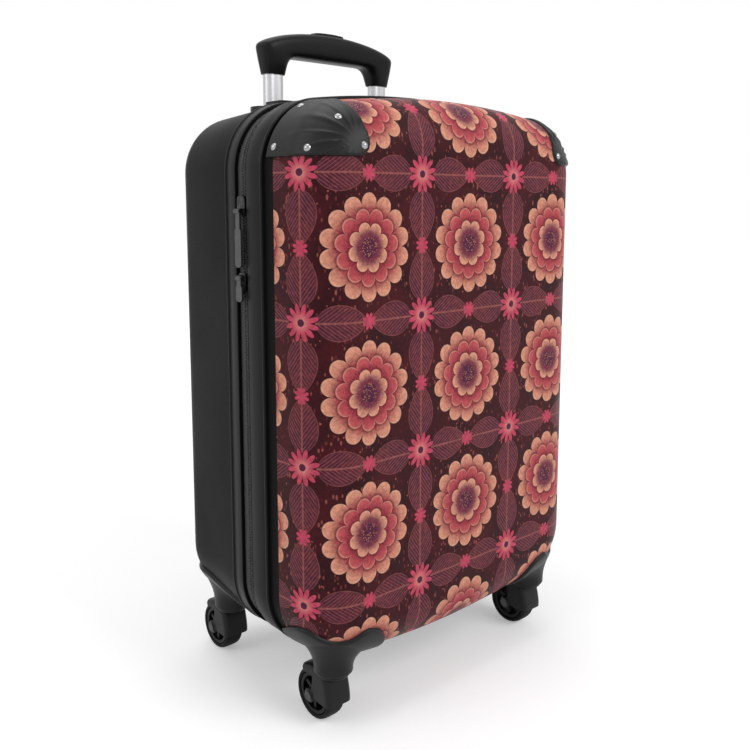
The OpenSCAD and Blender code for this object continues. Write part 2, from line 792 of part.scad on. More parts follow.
// Casters, around the swivel axis, with the wheel trailing towards the back
fork_w = wheel_w + 2 * (wheel_gap + arm_t);
boss_r = axle_d / 2 + 4;
module along_x(length) {
    rotate([90, 0, 90]) linear_extrude(length, center = true) children();
}
module fork() {
    plate_r = drum_d / 2 - 1.5;
    fender_in = wheel_d / 2 + 0.8 * wheel_gap;
    fender_out = fender_in + 0.85 * crown_t;
    root_r = 0.9 * boss_r;
    lean_low = 218;
    lean_high = 20;
    difference() {
        union() {
            translate([0, 0, fork_top - crown_t]) cylinder(r = plate_r, h = crown_t);
            stem();
            for (side = [-1, 1]) translate([side * (fork_w - arm_t) / 2, 0, 0]) along_x(arm_t) {
                translate([trail, axle_z]) circle(boss_r);
                polygon([[-plate_r * 0.8, fork_top], [trail, fork_top],
                    [trail + root_r * cos(lean_high), axle_z + root_r * sin(lean_high)],
                    [trail + root_r * cos(lean_low), axle_z + root_r * sin(lean_low)]]);
            }
            along_x(fork_w) intersection() {
                translate([trail, axle_z]) difference() {
                    circle(fender_out);
                    circle(fender_in);
                }
                polygon([[trail, axle_z], [trail + wheel_d / 4, axle_z + wheel_d],
                    [-wheel_d, axle_z + wheel_d], [-wheel_d, axle_z + wheel_d / 5]]);
            }
        }
        translate([0, trail, axle_z]) rotate([0, 90, 0])
            cylinder(d = axle_d + 2 * fit_gap, h = 2 * fork_w, center = true);
    }
}
module stem() {
    translate([0, 0, fork_top - crown_t / 2]) cylinder(d = stem_d, h = stem_l + crown_t / 2);
}
module axle() {
    cap_r = axle_d / 2 + 2;
    cap_t = 1.6;
    translate([0, trail, axle_z]) rotate([0, 90, 0]) {
        cylinder(d = axle_d, h = fork_w, center = true);
        for (side = [0, 180]) rotate([side, 0, 0]) translate([0, 0, fork_w / 2]) {
            cylinder(r = cap_r, h = cap_t / 2);
            cylinder(r = cap_r - cap_t / 2, h = cap_t);
        }
    }
}
hub_r = wheel_d / 2 - tyre_t;
module hub() {
    hub_w = wheel_w - 2;
    rim_w = 3;
    core_r = axle_d / 2 + 3.5;
    spoke_w = 3.4;
    translate([0, trail, axle_z]) rotate([0, 90, 0]) difference() {
        union() {
            difference() {
                cylinder(r = hub_r, h = hub_w, center = true);
                cylinder(r = hub_r - rim_w, h = 2 * hub_w, center = true);
            }
            cylinder(r = core_r, h = wheel_w, center = true);
            for (i = [0 : spokes - 1]) rotate([0, 0, i * 360 / spokes])
                translate([(core_r + hub_r - rim_w) / 2, 0, 0])
                    cube([hub_r - core_r, spoke_w, hub_w - 3], center = true);
        }
        cylinder(r = axle_d / 2 + running_gap, h = 2 * wheel_w, center = true);
    }
}
module tyre() {
    round = 2;
    translate([0, trail, axle_z]) rotate([0, 90, 0]) rotate_extrude() translate([hub_r, 0]) {
        translate([0, -wheel_w / 2]) square([tyre_t - round, wheel_w]);
        translate([0, round - wheel_w / 2]) square([tyre_t, wheel_w - 2 * round]);
        for (side = [-1, 1]) translate([tyre_t - round, side * (wheel_w / 2 - round)]) circle(round);
    }
}
module at_caster(side, face) {
    translate([side * swivel_x, face * swivel_y, 0]) children();
}
module fork_front_left() { color(moulded_black) at_caster(-1, -1) fork(); }
module fork_front_right() { color(moulded_black) at_caster(1, -1) fork(); }
module fork_rear_left() { color(moulded_black) at_caster(-1, 1) fork(); }
module fork_rear_right() { color(moulded_black) at_caster(1, 1) fork(); }
module axle_front_left() { color(bright_metal) at_caster(-1, -1) axle(); }
module axle_front_right() { color(bright_metal) at_caster(1, -1) axle(); }
module axle_rear_left() { color(bright_metal) at_caster(-1, 1) axle(); }
module axle_rear_right() { color(bright_metal) at_caster(1, 1) axle(); }
module hub_front_left() { color(moulded_black) at_caster(-1, -1) hub(); }
module hub_front_right() { color(moulded_black) at_caster(1, -1) hub(); }
module hub_rear_left() { color(moulded_black) at_caster(-1, 1) hub(); }
module hub_rear_right() { color(moulded_black) at_caster(1, 1) hub(); }
module tyre_front_left() { color(tape_black) at_caster(-1, -1) tyre(); }
module tyre_front_right() { color(tape_black) at_caster(1, -1) tyre(); }
module tyre_rear_left() { color(tape_black) at_caster(-1, 1) tyre(); }
module tyre_rear_right() { color(tape_black) at_caster(1, 1) tyre(); }

// Zip sliders on the left side, in a frame with z outwards, x towards the front and y up
coil_top = tape_u + coil_r;
slider_u = coil_top + slide_gap;
slider_t = 2;
pin_d = 2;
eye_r = 2.3;
pin_u = slider_u + slider_t + slide_gap + eye_r;
ear_t = 1.2;
eye_w = tab_w - 2 * ear_t - 2 * slide_gap;
module on_left_side(height) {
    translate([-half_w, -zip_v, height]) rotate([0, -90, 0]) rotate([0, 0, -90]) children();
}
// The pin's place along the slider: below its middle on the upper one, above it on the lower one
pin_high = -slider_l / 4;
pin_low = slider_l / 4;
module zip_slider(pin_at) {
    translate([0, 0, slider_u]) linear_extrude(slider_t) oval_upright(slider_w, slider_l);
    for (side = [-1, 1]) translate([side * (tab_w - ear_t) / 2, pin_at, 0])
        rotate([90, 0, 90]) linear_extrude(ear_t, center = true) {
            translate([0, pin_u]) circle(eye_r);
            translate([-eye_r, slider_u + slider_t / 2]) square([2 * eye_r, pin_u - slider_u - slider_t / 2]);
        }
    translate([0, pin_at, pin_u]) rotate([0, 90, 0]) cylinder(d = pin_d, h = tab_w - ear_t, center = true);
}
module oval_upright(width, length) {
    round = width / 3;
    square([width, length - 2 * round], center = true);
    square([width - 2 * round, length], center = true);
    for (x = [-1, 1], y = [-1, 1]) translate([x * (width / 2 - round), y * (length / 2 - round)]) circle(round);
}
module pull_tab(pin_at, length) {
    translate([0, pin_at, pin_u]) difference() {
        union() {
            rotate([0, 90, 0]) cylinder(r = eye_r, h = eye_w, center = true);
            translate([0, -length / 4, 0]) cube([eye_w, length / 2, tab_t], center = true);
            translate([0, -length * 0.65, -tab_t / 2]) linear_extrude(tab_t) oval_upright(tab_w, length * 0.7);
        }
        rotate([0, 90, 0]) cylinder(d = pin_d + 2 * running_gap, h = tab_w, center = true);
    }
}
module zip_slider_upper() { color(moulded_black) on_left_side(slider_high) zip_slider(pin_high); }
module zip_slider_lower() { color(moulded_black) on_left_side(slider_low) zip_slider(pin_low); }
module pull_tab_upper() { color(moulded_black) on_left_side(slider_high) pull_tab(pin_high, tab_l_high); }
module pull_tab_lower() { color(moulded_black) on_left_side(slider_low) pull_tab(pin_low, tab_l_low); }

back_shell();
back_rim();
back_zip_tape();
hinge_tape();
tube_cover_board();
back_lining();
packing_strap_left();
packing_strap_right();
strap_buckle();
top_handle_strap();
top_handle_caps();
side_handle_strap();
side_handle_caps();
rear_bracket_left();
rear_bracket_right();
socket_rear_left();
socket_rear_right();
handle_bezel();
handle_base();
outer_tube_left();
outer_tube_right();
middle_tube_left();
middle_tube_right();
inner_tube_left();
inner_tube_right();
handle_grip();
release_button();
front_shell();
printed_film();
front_rim();
front_zip_tape();
front_lining();
corner_guard_left();
corner_guard_right();
guard_rivets();
front_bracket_left();
front_bracket_right();
socket_front_left();
socket_front_right();
zip_slider_upper();
pull_tab_upper();
zip_slider_lower();
pull_tab_lower();
fork_front_left();
axle_front_left();
hub_front_left();
tyre_front_left();
fork_front_right();
axle_front_right();
hub_front_right();
tyre_front_right();
fork_rear_left();
axle_rear_left();
hub_rear_left();
tyre_rear_left();
fork_rear_right();
axle_rear_right();
hub_rear_right();
tyre_rear_right();
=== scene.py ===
# %% [markdown]
# # A cabin trolley case
# The imported CAD model is the frame of this scene: its bodies, joints and sizes are
# settled, and every piece made here goes where the CAD says, in metres. This first
# cell loads it.

import bmesh
import bpy
import numpy as np
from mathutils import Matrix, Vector


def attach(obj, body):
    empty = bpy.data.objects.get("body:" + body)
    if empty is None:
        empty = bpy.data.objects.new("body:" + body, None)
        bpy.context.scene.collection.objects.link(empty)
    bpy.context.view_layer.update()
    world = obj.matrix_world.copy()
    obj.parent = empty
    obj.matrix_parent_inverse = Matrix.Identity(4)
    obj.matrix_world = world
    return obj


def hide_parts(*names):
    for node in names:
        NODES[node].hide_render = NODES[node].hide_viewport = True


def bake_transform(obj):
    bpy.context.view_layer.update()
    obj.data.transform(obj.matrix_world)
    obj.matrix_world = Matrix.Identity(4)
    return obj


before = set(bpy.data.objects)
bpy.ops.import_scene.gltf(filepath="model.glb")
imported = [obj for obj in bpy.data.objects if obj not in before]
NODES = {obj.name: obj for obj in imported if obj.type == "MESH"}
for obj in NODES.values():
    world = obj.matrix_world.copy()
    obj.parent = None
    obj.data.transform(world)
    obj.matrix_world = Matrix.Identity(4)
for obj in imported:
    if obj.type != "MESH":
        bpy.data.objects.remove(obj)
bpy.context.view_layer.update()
MM = 0.001

# %% [markdown]
# ## Camera
# The photograph was taken from the front left, a little below the top of the case,
# with upright lines kept nearly parallel. A small vertical shift does what the
# photographer's shift did, and the lens follows from the picture's field of view.

# %% Camera
PICTURE = 750
CAMERA_AT = np.array([-566.07, -624.51, 451.85]) * MM
YAW, TILT = np.radians([41.58, 7.33])
FOCAL_PIXELS, SHIFT_Y = 855.55, -0.0854
SENSOR = 36.0
camera_data = bpy.data.cameras.new("photo_camera")
camera_data.sensor_width = SENSOR
camera_data.lens = FOCAL_PIXELS / PICTURE * SENSOR
camera_data.shift_y = SHIFT_Y
camera_data.clip_start, camera_data.clip_end = 0.01, 50
camera = bpy.data.objects.new("photo_camera", camera_data)
camera.location = CAMERA_AT
camera.rotation_euler = (np.pi / 2 - TILT, 0, -YAW)
scene = bpy.context.scene
scene.collection.objects.link(camera)
scene.camera = camera
scene.view_settings.view_transform = "Standard"
print("lens", round(camera_data.lens, 2), "mm")

# %% [markdown]
# ## Shader arithmetic
# A finish is a small sum of masks and noises. Wiring each node by hand hides the sum,
# so one class wraps a socket and lets Python's operators add the Math nodes. Every
# other node comes from its one method `node`, with settings first and sockets after.

# %% The socket class


def operator(operation, flipped=False):
    """A method of Wire that adds a Math node; flipped is for a wire on the right-hand side."""
    def method(self, *others):
        values = (self, *others)[::-1] if flipped else (self, *others)
        return self.node("ShaderNodeMath", {"operation": operation}, dict(enumerate(values)))
    return method


class Wire:
    """A node's output with arithmetic, so that 1 - wire * 2 adds two Math nodes."""

    def __init__(self, tree, socket):
        self.tree, self.socket = tree, socket

    def node(self, kind, settings, sockets, output=0):
        """Add a node: its settings, then values or links of its sockets; return an output."""
        made = self.tree.nodes.new(kind)
        for key, value in settings.items():
            setattr(made, key, value)
        for key, value in sockets.items():
            if isinstance(value, Wire):
                self.tree.links.new(value.socket, made.inputs[key])
            else:
                made.inputs[key].default_value = value
        return Wire(self.tree, made.outputs[output])

    __add__ = __radd__ = operator("ADD")
    __mul__ = __rmul__ = operator("MULTIPLY")
    __sub__, __rsub__ = operator("SUBTRACT"), operator("SUBTRACT", True)
    __truediv__, __rtruediv__ = operator("DIVIDE"), operator("DIVIDE", True)
    __pow__, __abs__ = operator("POWER"), operator("ABSOLUTE")
    __lt__, __gt__ = operator("LESS_THAN"), operator("GREATER_THAN")
    fract, sine, bearing = operator("FRACT"), operator("SINE"), operator("ARCTAN2")
    smaller, larger = operator("MINIMUM"), operator("MAXIMUM")

    def ease(self, low, high, out_low=0.0, out_high=1.0):
        """A smooth step from out_low at low to out_high at high."""
        return self.node("ShaderNodeMapRange", {"interpolation_type": "SMOOTHSTEP"},
                         {0: self, 1: low, 2: high, 3: out_low, 4: out_high})

    def blend(self, below, above):
        """The colour below where this mask is 0 and the colour above where it is 1."""
        return self.node("ShaderNodeMix", {"data_type": "RGBA"},
                         {0: self, 6: as_colour(below), 7: as_colour(above)}, 2)

    def darken(self, colour):
        """A colour times this grey value."""
        return self.node("ShaderNodeMix", {"data_type": "RGBA", "blend_type": "MULTIPLY"},
                         {0: 1.0, 6: as_colour(colour), 7: self}, 2)

    def axes(self):
        """The three parts of a vector."""
        return [self.node("ShaderNodeSeparateXYZ", {}, {0: self}, i) for i in range(3)]

    def stretch(self, *scale):
        return self.node("ShaderNodeVectorMath", {"operation": "MULTIPLY"}, {0: self, 1: scale})

    def noise(self, scale, detail=2.0, roughness=0.5):
        return self.node("ShaderNodeTexNoise", {},
                         {"Vector": self, "Scale": scale, "Detail": detail, "Roughness": roughness})

    def cells(self, scale, output="Distance"):
        return self.node("ShaderNodeTexVoronoi", {}, {"Vector": self, "Scale": scale}, output)


def as_colour(value):
    """A wire as it is, or a triple as RGBA."""
    return value if isinstance(value, Wire) else (*value, 1)


def start_finish(name, **constants):
    """A new material; returns it, its shader and a wire of Object coordinates."""
    material = bpy.data.materials.new(name)
    material.use_nodes = True
    shader = material.node_tree.nodes["Principled BSDF"]
    for socket, value in constants.items():
        shader.inputs[socket.replace("_", " ")].default_value = value
    place = material.node_tree.nodes.new("ShaderNodeTexCoord")
    return material, shader, Wire(material.node_tree, place.outputs["Object"])


def feed(shader, height, depth, **wires):
    """Link wires to the shader's sockets, and a height through a Bump node to its Normal."""
    for socket, wire in wires.items():
        wire.tree.links.new(wire.socket, shader.inputs[socket.replace("_", " ")])
    bump = height.node("ShaderNodeBump", {}, {"Height": height, "Distance": depth, "Strength": 1.0})
    bump.tree.links.new(bump.socket, shader.inputs["Normal"])


print("shader arithmetic ready")

# %% [markdown]
# ## Black plastics
# The case's black plastics differ in grain and gloss: the matt vacuum-formed
# shell with a fine leather grain, the smoother rims, the satin guards and brackets, and
# the glossier grip. One recipe with sets of numbers keeps them a family: cells and
# noise give the grain, and slow noise varies the gloss as handling does.

# %% Plastic finishes


def plastic(name, level, gloss, grain, grain_size, shine=0.15):
    """Dark plastic: grain from cells of grain_size metres, gloss that drifts slowly."""
    material, shader, place = start_finish(name, IOR=1.46, Specular_IOR_Level=shine)
    cells = place.cells(1 / grain_size)
    fine = place.noise(2.2 / grain_size, 3)
    drift = place.noise(9, 3)
    scuff = place.stretch(1, 1, 0.25).noise(160, 4, 0.7).ease(0.62, 0.8)
    shade = drift.ease(0.3, 0.7, 0.85, 1.15) + fine * 0.2 - 0.1 + scuff * 0.12
    colour = shade.darken((level * 1.03, level, level * 1.04))
    rough = drift.ease(0.25, 0.75, gloss - 0.05, gloss + 0.06) + scuff * 0.08
    feed(shader, height=cells * 0.7 + fine * 0.5, depth=grain, Base_Color=colour, Roughness=rough)
    return material


SHELL = plastic("matt_shell_plastic", 0.0040, 0.44, 0.00012, 0.0011, 0.058)
RIM = plastic("smooth_rim_plastic", 0.0060, 0.36, 0.00003, 0.0008, 0.16)
MOULDED = plastic("satin_moulded_plastic", 0.0090, 0.40, 0.00006, 0.0007, 0.22)
GRIP = plastic("grip_plastic", 0.0065, 0.36, 0.00004, 0.0006, 0.14)
TYRE = plastic("tyre_rubber", 0.0070, 0.60, 0.00006, 0.0005, 0.14)
BOARD = plastic("inside_board", 0.10, 0.60, 0.00010, 0.0013)
print("plastics:", [m.name for m in bpy.data.materials])

# %% [markdown]
# ## Metals
# The tubes are brushed aluminium, drawn along their length, so their noise is stretched
# a hundred times along Z. Rivets are chromed, pull tabs and axle ends are grey, and the
# sliders are blackened zinc that shines through in patches where fingers touch it.

# %% Metal finishes


def brushed(name, level, rough, along, wear=0.0):
    """Metal with fine lines along one axis; wear brightens patches."""
    material, shader, place = start_finish(name, Metallic=1.0)
    lines = place.stretch(*along).noise(900, 3, 0.6)
    patches = place.noise(220, 3, 0.6).ease(0.45, 0.75)
    shade = lines.ease(0.3, 0.7, 0.88, 1.08) + patches * wear
    feed(shader, height=lines, depth=0.00002, Base_Color=shade.darken((level, level, level * 1.02)),
         Roughness=lines.ease(0.2, 0.8, rough - 0.06, rough + 0.08))
    return material


TUBE = brushed("brushed_tube", 0.52, 0.34, (1, 1, 0.01))
CHROME = brushed("chromed_steel", 0.34, 0.24, (1, 1, 1))
SLIDER = brushed("blackened_zinc", 0.035, 0.34, (1, 0.3, 1), wear=2.2)
TAB = brushed("grey_pull_tab", 0.085, 0.46, (1, 1, 0.1), wear=0.15)
print("metals ready")

# %% [markdown]
# ## Cloth
# The zip tapes, the packing straps and the lining are woven. Two crossed sines make
# a weave at thread scale; a mottling noise on every cloth keeps it from looking
# printed, and the webbing runs ribs along its length.

# %% Woven finishes


def woven(name, level, thread, ribs, tint=(1.0, 1.0, 1.03)):
    """Cloth: crossed threads of a size in metres, heavier one way by ribs."""
    material, shader, place = start_finish(name, Sheen_Weight=0.25)
    x, y, z = place.axes()
    turn = 2 * np.pi / thread
    across = ((x + y) * turn).sine()
    upright = (z * turn).sine()
    weave = across * upright * 0.5 + upright * ribs * 0.5
    mottle = place.noise(60, 4, 0.6)
    shade = weave * 0.22 + mottle * 0.5 + 0.75
    colour = shade.darken(tuple(level * t for t in tint))
    feed(shader, height=weave + mottle * 0.8, depth=thread * 0.25, Base_Color=colour,
         Roughness=mottle.ease(0.3, 0.7, 0.74, 0.86))
    return material


TAPE = woven("zip_tape_weave", 0.0065, 0.0012, 0.2)
LINING = woven("lining_cloth", 0.075, 0.0011, 0.3, tint=(1.0, 0.97, 0.98))
WEBBING = woven("strap_webbing", 0.016, 0.0022, 1.0)
print("cloths ready")

# %% [markdown]
# ## From grids to meshes
# Every new piece is a grid of points from numpy. `grid_quads` numbers the faces of such
# a grid, `add_piece` puts the arrays into a mesh in one go and tells the frame which
# body carries it, `tube` joins rows of rings, and `skin` closes two grids, a top and an
# underside, into one solid.

# %% Mesh helpers


def grid_quads(rows, columns, round_rows=False, round_columns=False):
    """Faces of a grid of points; a round direction joins its last line to its first."""
    i, j = np.meshgrid(np.arange(rows - (not round_rows)), np.arange(columns - (not round_columns)),
                       indexing="ij")
    up, along = (i + 1) % rows, (j + 1) % columns
    return np.stack([i * columns + j, up * columns + j, up * columns + along, i * columns + along],
                    -1).reshape(-1, 4)


def add_piece(name, points, quads, material, body, slot, replaced, uv=None, sharp=40):
    """A mesh from arrays; doubles are merged, so that closed ends become poles."""
    mesh = bpy.data.meshes.new(name)
    mesh.vertices.add(len(points))
    mesh.vertices.foreach_set("co", points.ravel())
    mesh.loops.add(quads.size)
    mesh.loops.foreach_set("vertex_index", quads.ravel().astype(np.int32))
    mesh.polygons.add(len(quads))
    mesh.polygons.foreach_set("loop_start", np.arange(0, quads.size, 4, dtype=np.int32))
    mesh.update(calc_edges=True)
    if uv is not None:
        layer = mesh.uv_layers.new(name="face_map")
        layer.data.foreach_set("uv", uv[quads.ravel()].ravel())
    work = bmesh.new()
    work.from_mesh(mesh)
    bmesh.ops.remove_doubles(work, verts=work.verts, dist=2e-6)
    bmesh.ops.recalc_face_normals(work, faces=work.faces)
    work.to_mesh(mesh)
    work.free()
    mesh.shade_smooth()
    mesh.set_sharp_from_angle(angle=np.radians(sharp))
    mesh.materials.append(material)
    piece = bpy.data.objects.new(name, mesh)
    scene.collection.objects.link(piece)
    if body:
        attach(piece, body)
    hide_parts(*replaced)
    print(f"{name}: {len(mesh.polygons)} faces")
    return piece


def tube(points, round_rows=False):
    """Points and faces of rows of closed rings; a hoop's last ring joins its first."""
    return points.reshape(-1, 3), grid_quads(*points.shape[:2], round_rows, True)


def skin(top, under, round_columns=False):
    """Points and faces of a closed skin: a top grid, an underside, and walls between them.

    The columns run round where round_columns is true, and then the first row is a pole,
    so only the last row gets a wall."""
    rows, columns = top.shape[:2]
    size = rows * columns
    points = np.concatenate([top.reshape(-1, 3), under.reshape(-1, 3)])
    faces = [grid_quads(rows, columns, False, round_columns),
             grid_quads(rows, columns, False, round_columns)[:, ::-1] + size]
    number = np.arange(size).reshape(rows, columns)
    border = number[-1] if round_columns else np.concatenate(
        [number[0], number[1:, -1], number[-1, -2::-1], number[-2:0:-1, 0]])
    after = np.roll(border, -1)
    faces.append(np.stack([border, after, after + size, border + size], -1))
    return points, np.concatenate(faces)


print("mesh helpers ready")

# %% [markdown]
# ## The case's outline
# Seen from the front, the case is a rectangle with round corners, and its top and bottom
# are slightly crowned. `outline` walks round it by arc length. It has the same sizes as
# the CAD source, because each shell, rim and tape is carried round this line.

# %% Outline
HALF_W, HALF_H, CASE_Z = 173 * MM, 249 * MM, 297 * MM
CORNER_R, CROWN_R = 62 * MM, 850 * MM
DRAFT = np.radians(4)
WALL_T, RIM_T, FILM_T, GUARD_T, BRACKET_T = 2.2 * MM, 1.8 * MM, 0.6 * MM, 1.9 * MM, 3 * MM
FILM_OUT = FILM_T + 0.1 * MM
CORNER_X = HALF_W - CORNER_R
CROWN_C = HALF_H - CROWN_R
CORNER_C = CROWN_C + np.sqrt((CROWN_R - CORNER_R) ** 2 - CORNER_X ** 2)
CROWN_TURN = np.arcsin(CORNER_X / (CROWN_R - CORNER_R))
CORNER_TURN = np.pi / 2 - CROWN_TURN
SIDE_L, BEND_L, CROWN_L = CORNER_C, CORNER_R * CORNER_TURN, CROWN_R * CROWN_TURN
QUARTER = SIDE_L + BEND_L + CROWN_L


def outline(s):
    """Points (x, z) and outward normals at arc length s from the middle of the right side.

    A quarter is a straight side, a corner arc and half a crown; the others mirror it."""
    s = np.asarray(s, float) % (4 * QUARTER)
    quarter = np.floor(s / QUARTER).astype(int) % 4
    along = s - quarter * QUARTER
    along = np.where(quarter % 2 == 1, QUARTER - along, along)
    bend = np.clip((along - SIDE_L) / CORNER_R, 0, CORNER_TURN)
    crown = np.clip((along - SIDE_L - BEND_L) / CROWN_R, 0, None)
    normal = np.stack([np.cos(bend + crown), np.sin(bend + crown)], -1)
    on_side = np.stack([np.full_like(along, HALF_W), along], -1)
    on_bend = np.array([CORNER_X, CORNER_C]) + CORNER_R * normal
    on_crown = np.array([0, CROWN_C]) + CROWN_R * normal
    point = np.where((along < SIDE_L)[..., None], on_side,
                     np.where((crown > 0)[..., None], on_crown, on_bend))
    mirror = np.stack([np.array([1, -1, -1, 1])[quarter], np.array([1, 1, -1, -1])[quarter]], -1)
    return point * mirror, normal * mirror


def outline_stops(side, bend, crown):
    """Arc lengths all round the outline, closer together in the corners."""
    one = np.concatenate([np.linspace(0, SIDE_L, side, endpoint=False),
                          SIDE_L + np.linspace(0, BEND_L, bend, endpoint=False),
                          SIDE_L + BEND_L + np.linspace(0, CROWN_L, crown)])
    every = np.concatenate([one, 2 * QUARTER - one, 2 * QUARTER + one, 4 * QUARTER - one])
    return np.unique(np.round(every % (4 * QUARTER), 9))


print("outline", round(4 * QUARTER, 3), "m round")

# %% [markdown]
# ## Unrolling a shell
# A shell's face, its rounded edge and its wall can be unrolled into one flat map: on the
# face a map point is the point itself, and beyond it the distance runs on round the
# edge and along the wall. `on_half` rolls a map point up again at any offset from the
# shell, so a guard, a film or a lining is drawn flat and takes the case's shape.

# %% Roll a flat map onto a shell
HALVES = {"front": (-20 * MM, 92 * MM, -1, 42 * MM), "back": (-3 * MM, 115 * MM, 1, 26 * MM)}


def wall_u(d, off):
    """Distance outside the outline of the wall's surface, d from the open edge."""
    return -RIM_T + off / np.cos(DRAFT) - np.tan(DRAFT) * d


def edge_line(half):
    """The offset of the outline on which the face ends and the rounded edge starts."""
    _, depth, _, edge_r = HALVES[half]
    return wall_u(depth - edge_r, -edge_r)


def round_length(half):
    """Map length of the rounded edge, which turns from the face down to the leaning wall."""
    return HALVES[half][3] * (np.pi / 2 - DRAFT)


def reach_to(half, d):
    """Map distance from the end of the face to the place on the wall d from the open edge."""
    _, depth, _, edge_r = HALVES[half]
    return round_length(half) + (depth - edge_r + edge_r * np.sin(DRAFT) - d) / np.cos(DRAFT)


def beyond_face(half, q):
    """How far points (x, z) lie beyond the face's border, and the way outwards there.

    One quarter is worked out: beside the straight side, about the corner or about the crown."""
    line = edge_line(half)
    sign = np.where(q < 0, -1.0, 1.0)
    ax, az = np.abs(q[..., 0]), np.abs(q[..., 1])
    from_corner = np.stack([ax - CORNER_X, az - CORNER_C], -1)
    from_crown = np.stack([ax, az - CROWN_C], -1)
    turn = np.arctan2(from_corner[..., 1], from_corner[..., 0])
    in_side = az <= CORNER_C
    in_bend = ~in_side & (turn >= 0) & (turn <= CORNER_TURN)
    corner_l = np.linalg.norm(from_corner, axis=-1) + 1e-12
    crown_l = np.linalg.norm(from_crown, axis=-1)
    far = np.where(in_side, ax - HALF_W - line,
                   np.where(in_bend, corner_l - CORNER_R - line, crown_l - CROWN_R - line))
    flat = np.stack([np.ones_like(ax), np.zeros_like(ax)], -1)
    normal = np.where(in_side[..., None], flat,
                      np.where(in_bend[..., None], from_corner / corner_l[..., None],
                               from_crown / crown_l[..., None]))
    return np.maximum(far, 0), normal * sign


def on_half(half, q, off):
    """Roll map points q (x, z) onto a half, off metres outside its shell.

    The distance beyond the face turns round the edge up to its lean, then runs along the wall."""
    open_y, depth, way, edge_r = HALVES[half]
    far, normal = beyond_face(half, q)
    bend = round_length(half)
    lean, run = np.minimum(far, bend) / edge_r, np.maximum(far - bend, 0)
    grow = (edge_r + off) * np.sin(lean) + run * np.sin(DRAFT)
    d = depth - edge_r + (edge_r + off) * np.cos(lean) - run * np.cos(DRAFT)
    place = q + (grow - far)[..., None] * normal
    return np.stack([place[..., 0], open_y + way * d, CASE_Z + place[..., 1]], -1)


def shell_map(half, stops, rings, beyond):
    """Map points of a whole half: rings from the middle of the face to its border, then beyond."""
    point, normal = outline(stops)
    border = point + edge_line(half) * normal
    face = rings[:, None, None] * border[None]
    wall = border[None] + beyond[:, None, None] * normal[None]
    return np.concatenate([face, wall])


def steps_to(half, reach, count):
    """Map distances beyond the face: round the edge, then in count - 1 steps along the wall."""
    bend = round_length(half)
    return np.concatenate([np.linspace(0, bend, 15)[1:], np.linspace(bend, reach, count)[1:]])


FACE_RINGS = np.linspace(0, 1, 9)
print("edge of the front face lies", round(edge_line("front") / MM, 2), "mm from the outline")

# %% [markdown]
# ## Shells
# A shell is one sheet of plastic drawn over a mould: a flat face, a rounded edge and
# walls that lean by four degrees. Outer and inner side are the same map at two offsets,
# so the wall has its real thickness, and no edge shows the flat steps of a CAD solid.

# %% Shells
STOPS = outline_stops(side=10, bend=18, crown=12)
for half in HALVES:
    q = shell_map(half, STOPS, FACE_RINGS, steps_to(half, reach_to(half, 0), 8))
    points, faces = skin(on_half(half, q, 0.0), on_half(half, q, -WALL_T), True)
    add_piece(f"{half}_shell_form", points, faces, SHELL, f"{half}_half", "shell", [f"{half}_shell"])

# %% [markdown]
# ## Rims
# Each half is framed by an extruded rim: a flat band that covers the shell's cut edge,
# with a small bead along its far side that catches the light all round the case. A closed
# profile is carried round the outline.

# %% Rims
BEAD = 1.3 * MM


def carry_round(half, profile, stops):
    """Profile points (u, d), out from the outline and in from a half's open edge, at each stop."""
    open_y, _, way, _ = HALVES[half]
    point, normal = outline(stops)
    place = point[:, None] + profile[..., :1] * normal[:, None]
    y = np.broadcast_to(open_y + way * profile[..., 1], place.shape[:2])
    return np.stack([place[..., 0], y, CASE_Z + place[..., 1]], -1)


def rim_profile(width):
    """Rounded band with a bead: corner arcs, a flat, a bead of half a circle, the leaning back."""
    turn = np.linspace(0, np.pi / 2, 5)
    soft, band = 0.5 * MM, -0.55 * BEAD
    front = np.stack([band - soft + soft * np.sin(turn), soft - soft * np.cos(turn)], -1)
    arc = np.linspace(-0.45 * np.pi, 0.55 * np.pi, 9)
    bead = np.stack([-BEAD + BEAD * np.cos(arc), width - BEAD + BEAD * np.sin(arc)], -1)
    groove = np.array([[band, width - 2.6 * BEAD], [band - 0.35 * MM, width - 2.2 * BEAD]])
    back = np.array([[wall_u(width, 0.02 * MM), width], [wall_u(0, 0.02 * MM), 0.0]])
    return np.concatenate([front, groove, bead, back])


for half, width in (("front", 22.5 * MM), ("back", 15.5 * MM)):
    points = carry_round(half, rim_profile(width)[None], STOPS)
    add_piece(f"{half}_rim_band", *tube(points, True), RIM, f"{half}_half", "rim", [f"{half}_rim"])

# %% [markdown]
# ## Zip
# A coil zip closes three sides. Each tape is a thin woven strip that carries half of the
# coil on its free edge; the teeth are a wave along the strip that raises the coil's
# section, with the two halves half a tooth apart so that they mesh.

# %% Zip tapes
TAPE_U = wall_u(8 * MM, -WALL_T - 0.1 * MM)
TAPE_T, COIL_R, TOOTH = 0.8 * MM, 1.5 * MM, 2.4 * MM
COIL_FREE = 8.5 * MM - 0.175 * MM
ZIP_START, ZIP_END = SIDE_L + 1 * MM, 4 * QUARTER - SIDE_L - 1 * MM


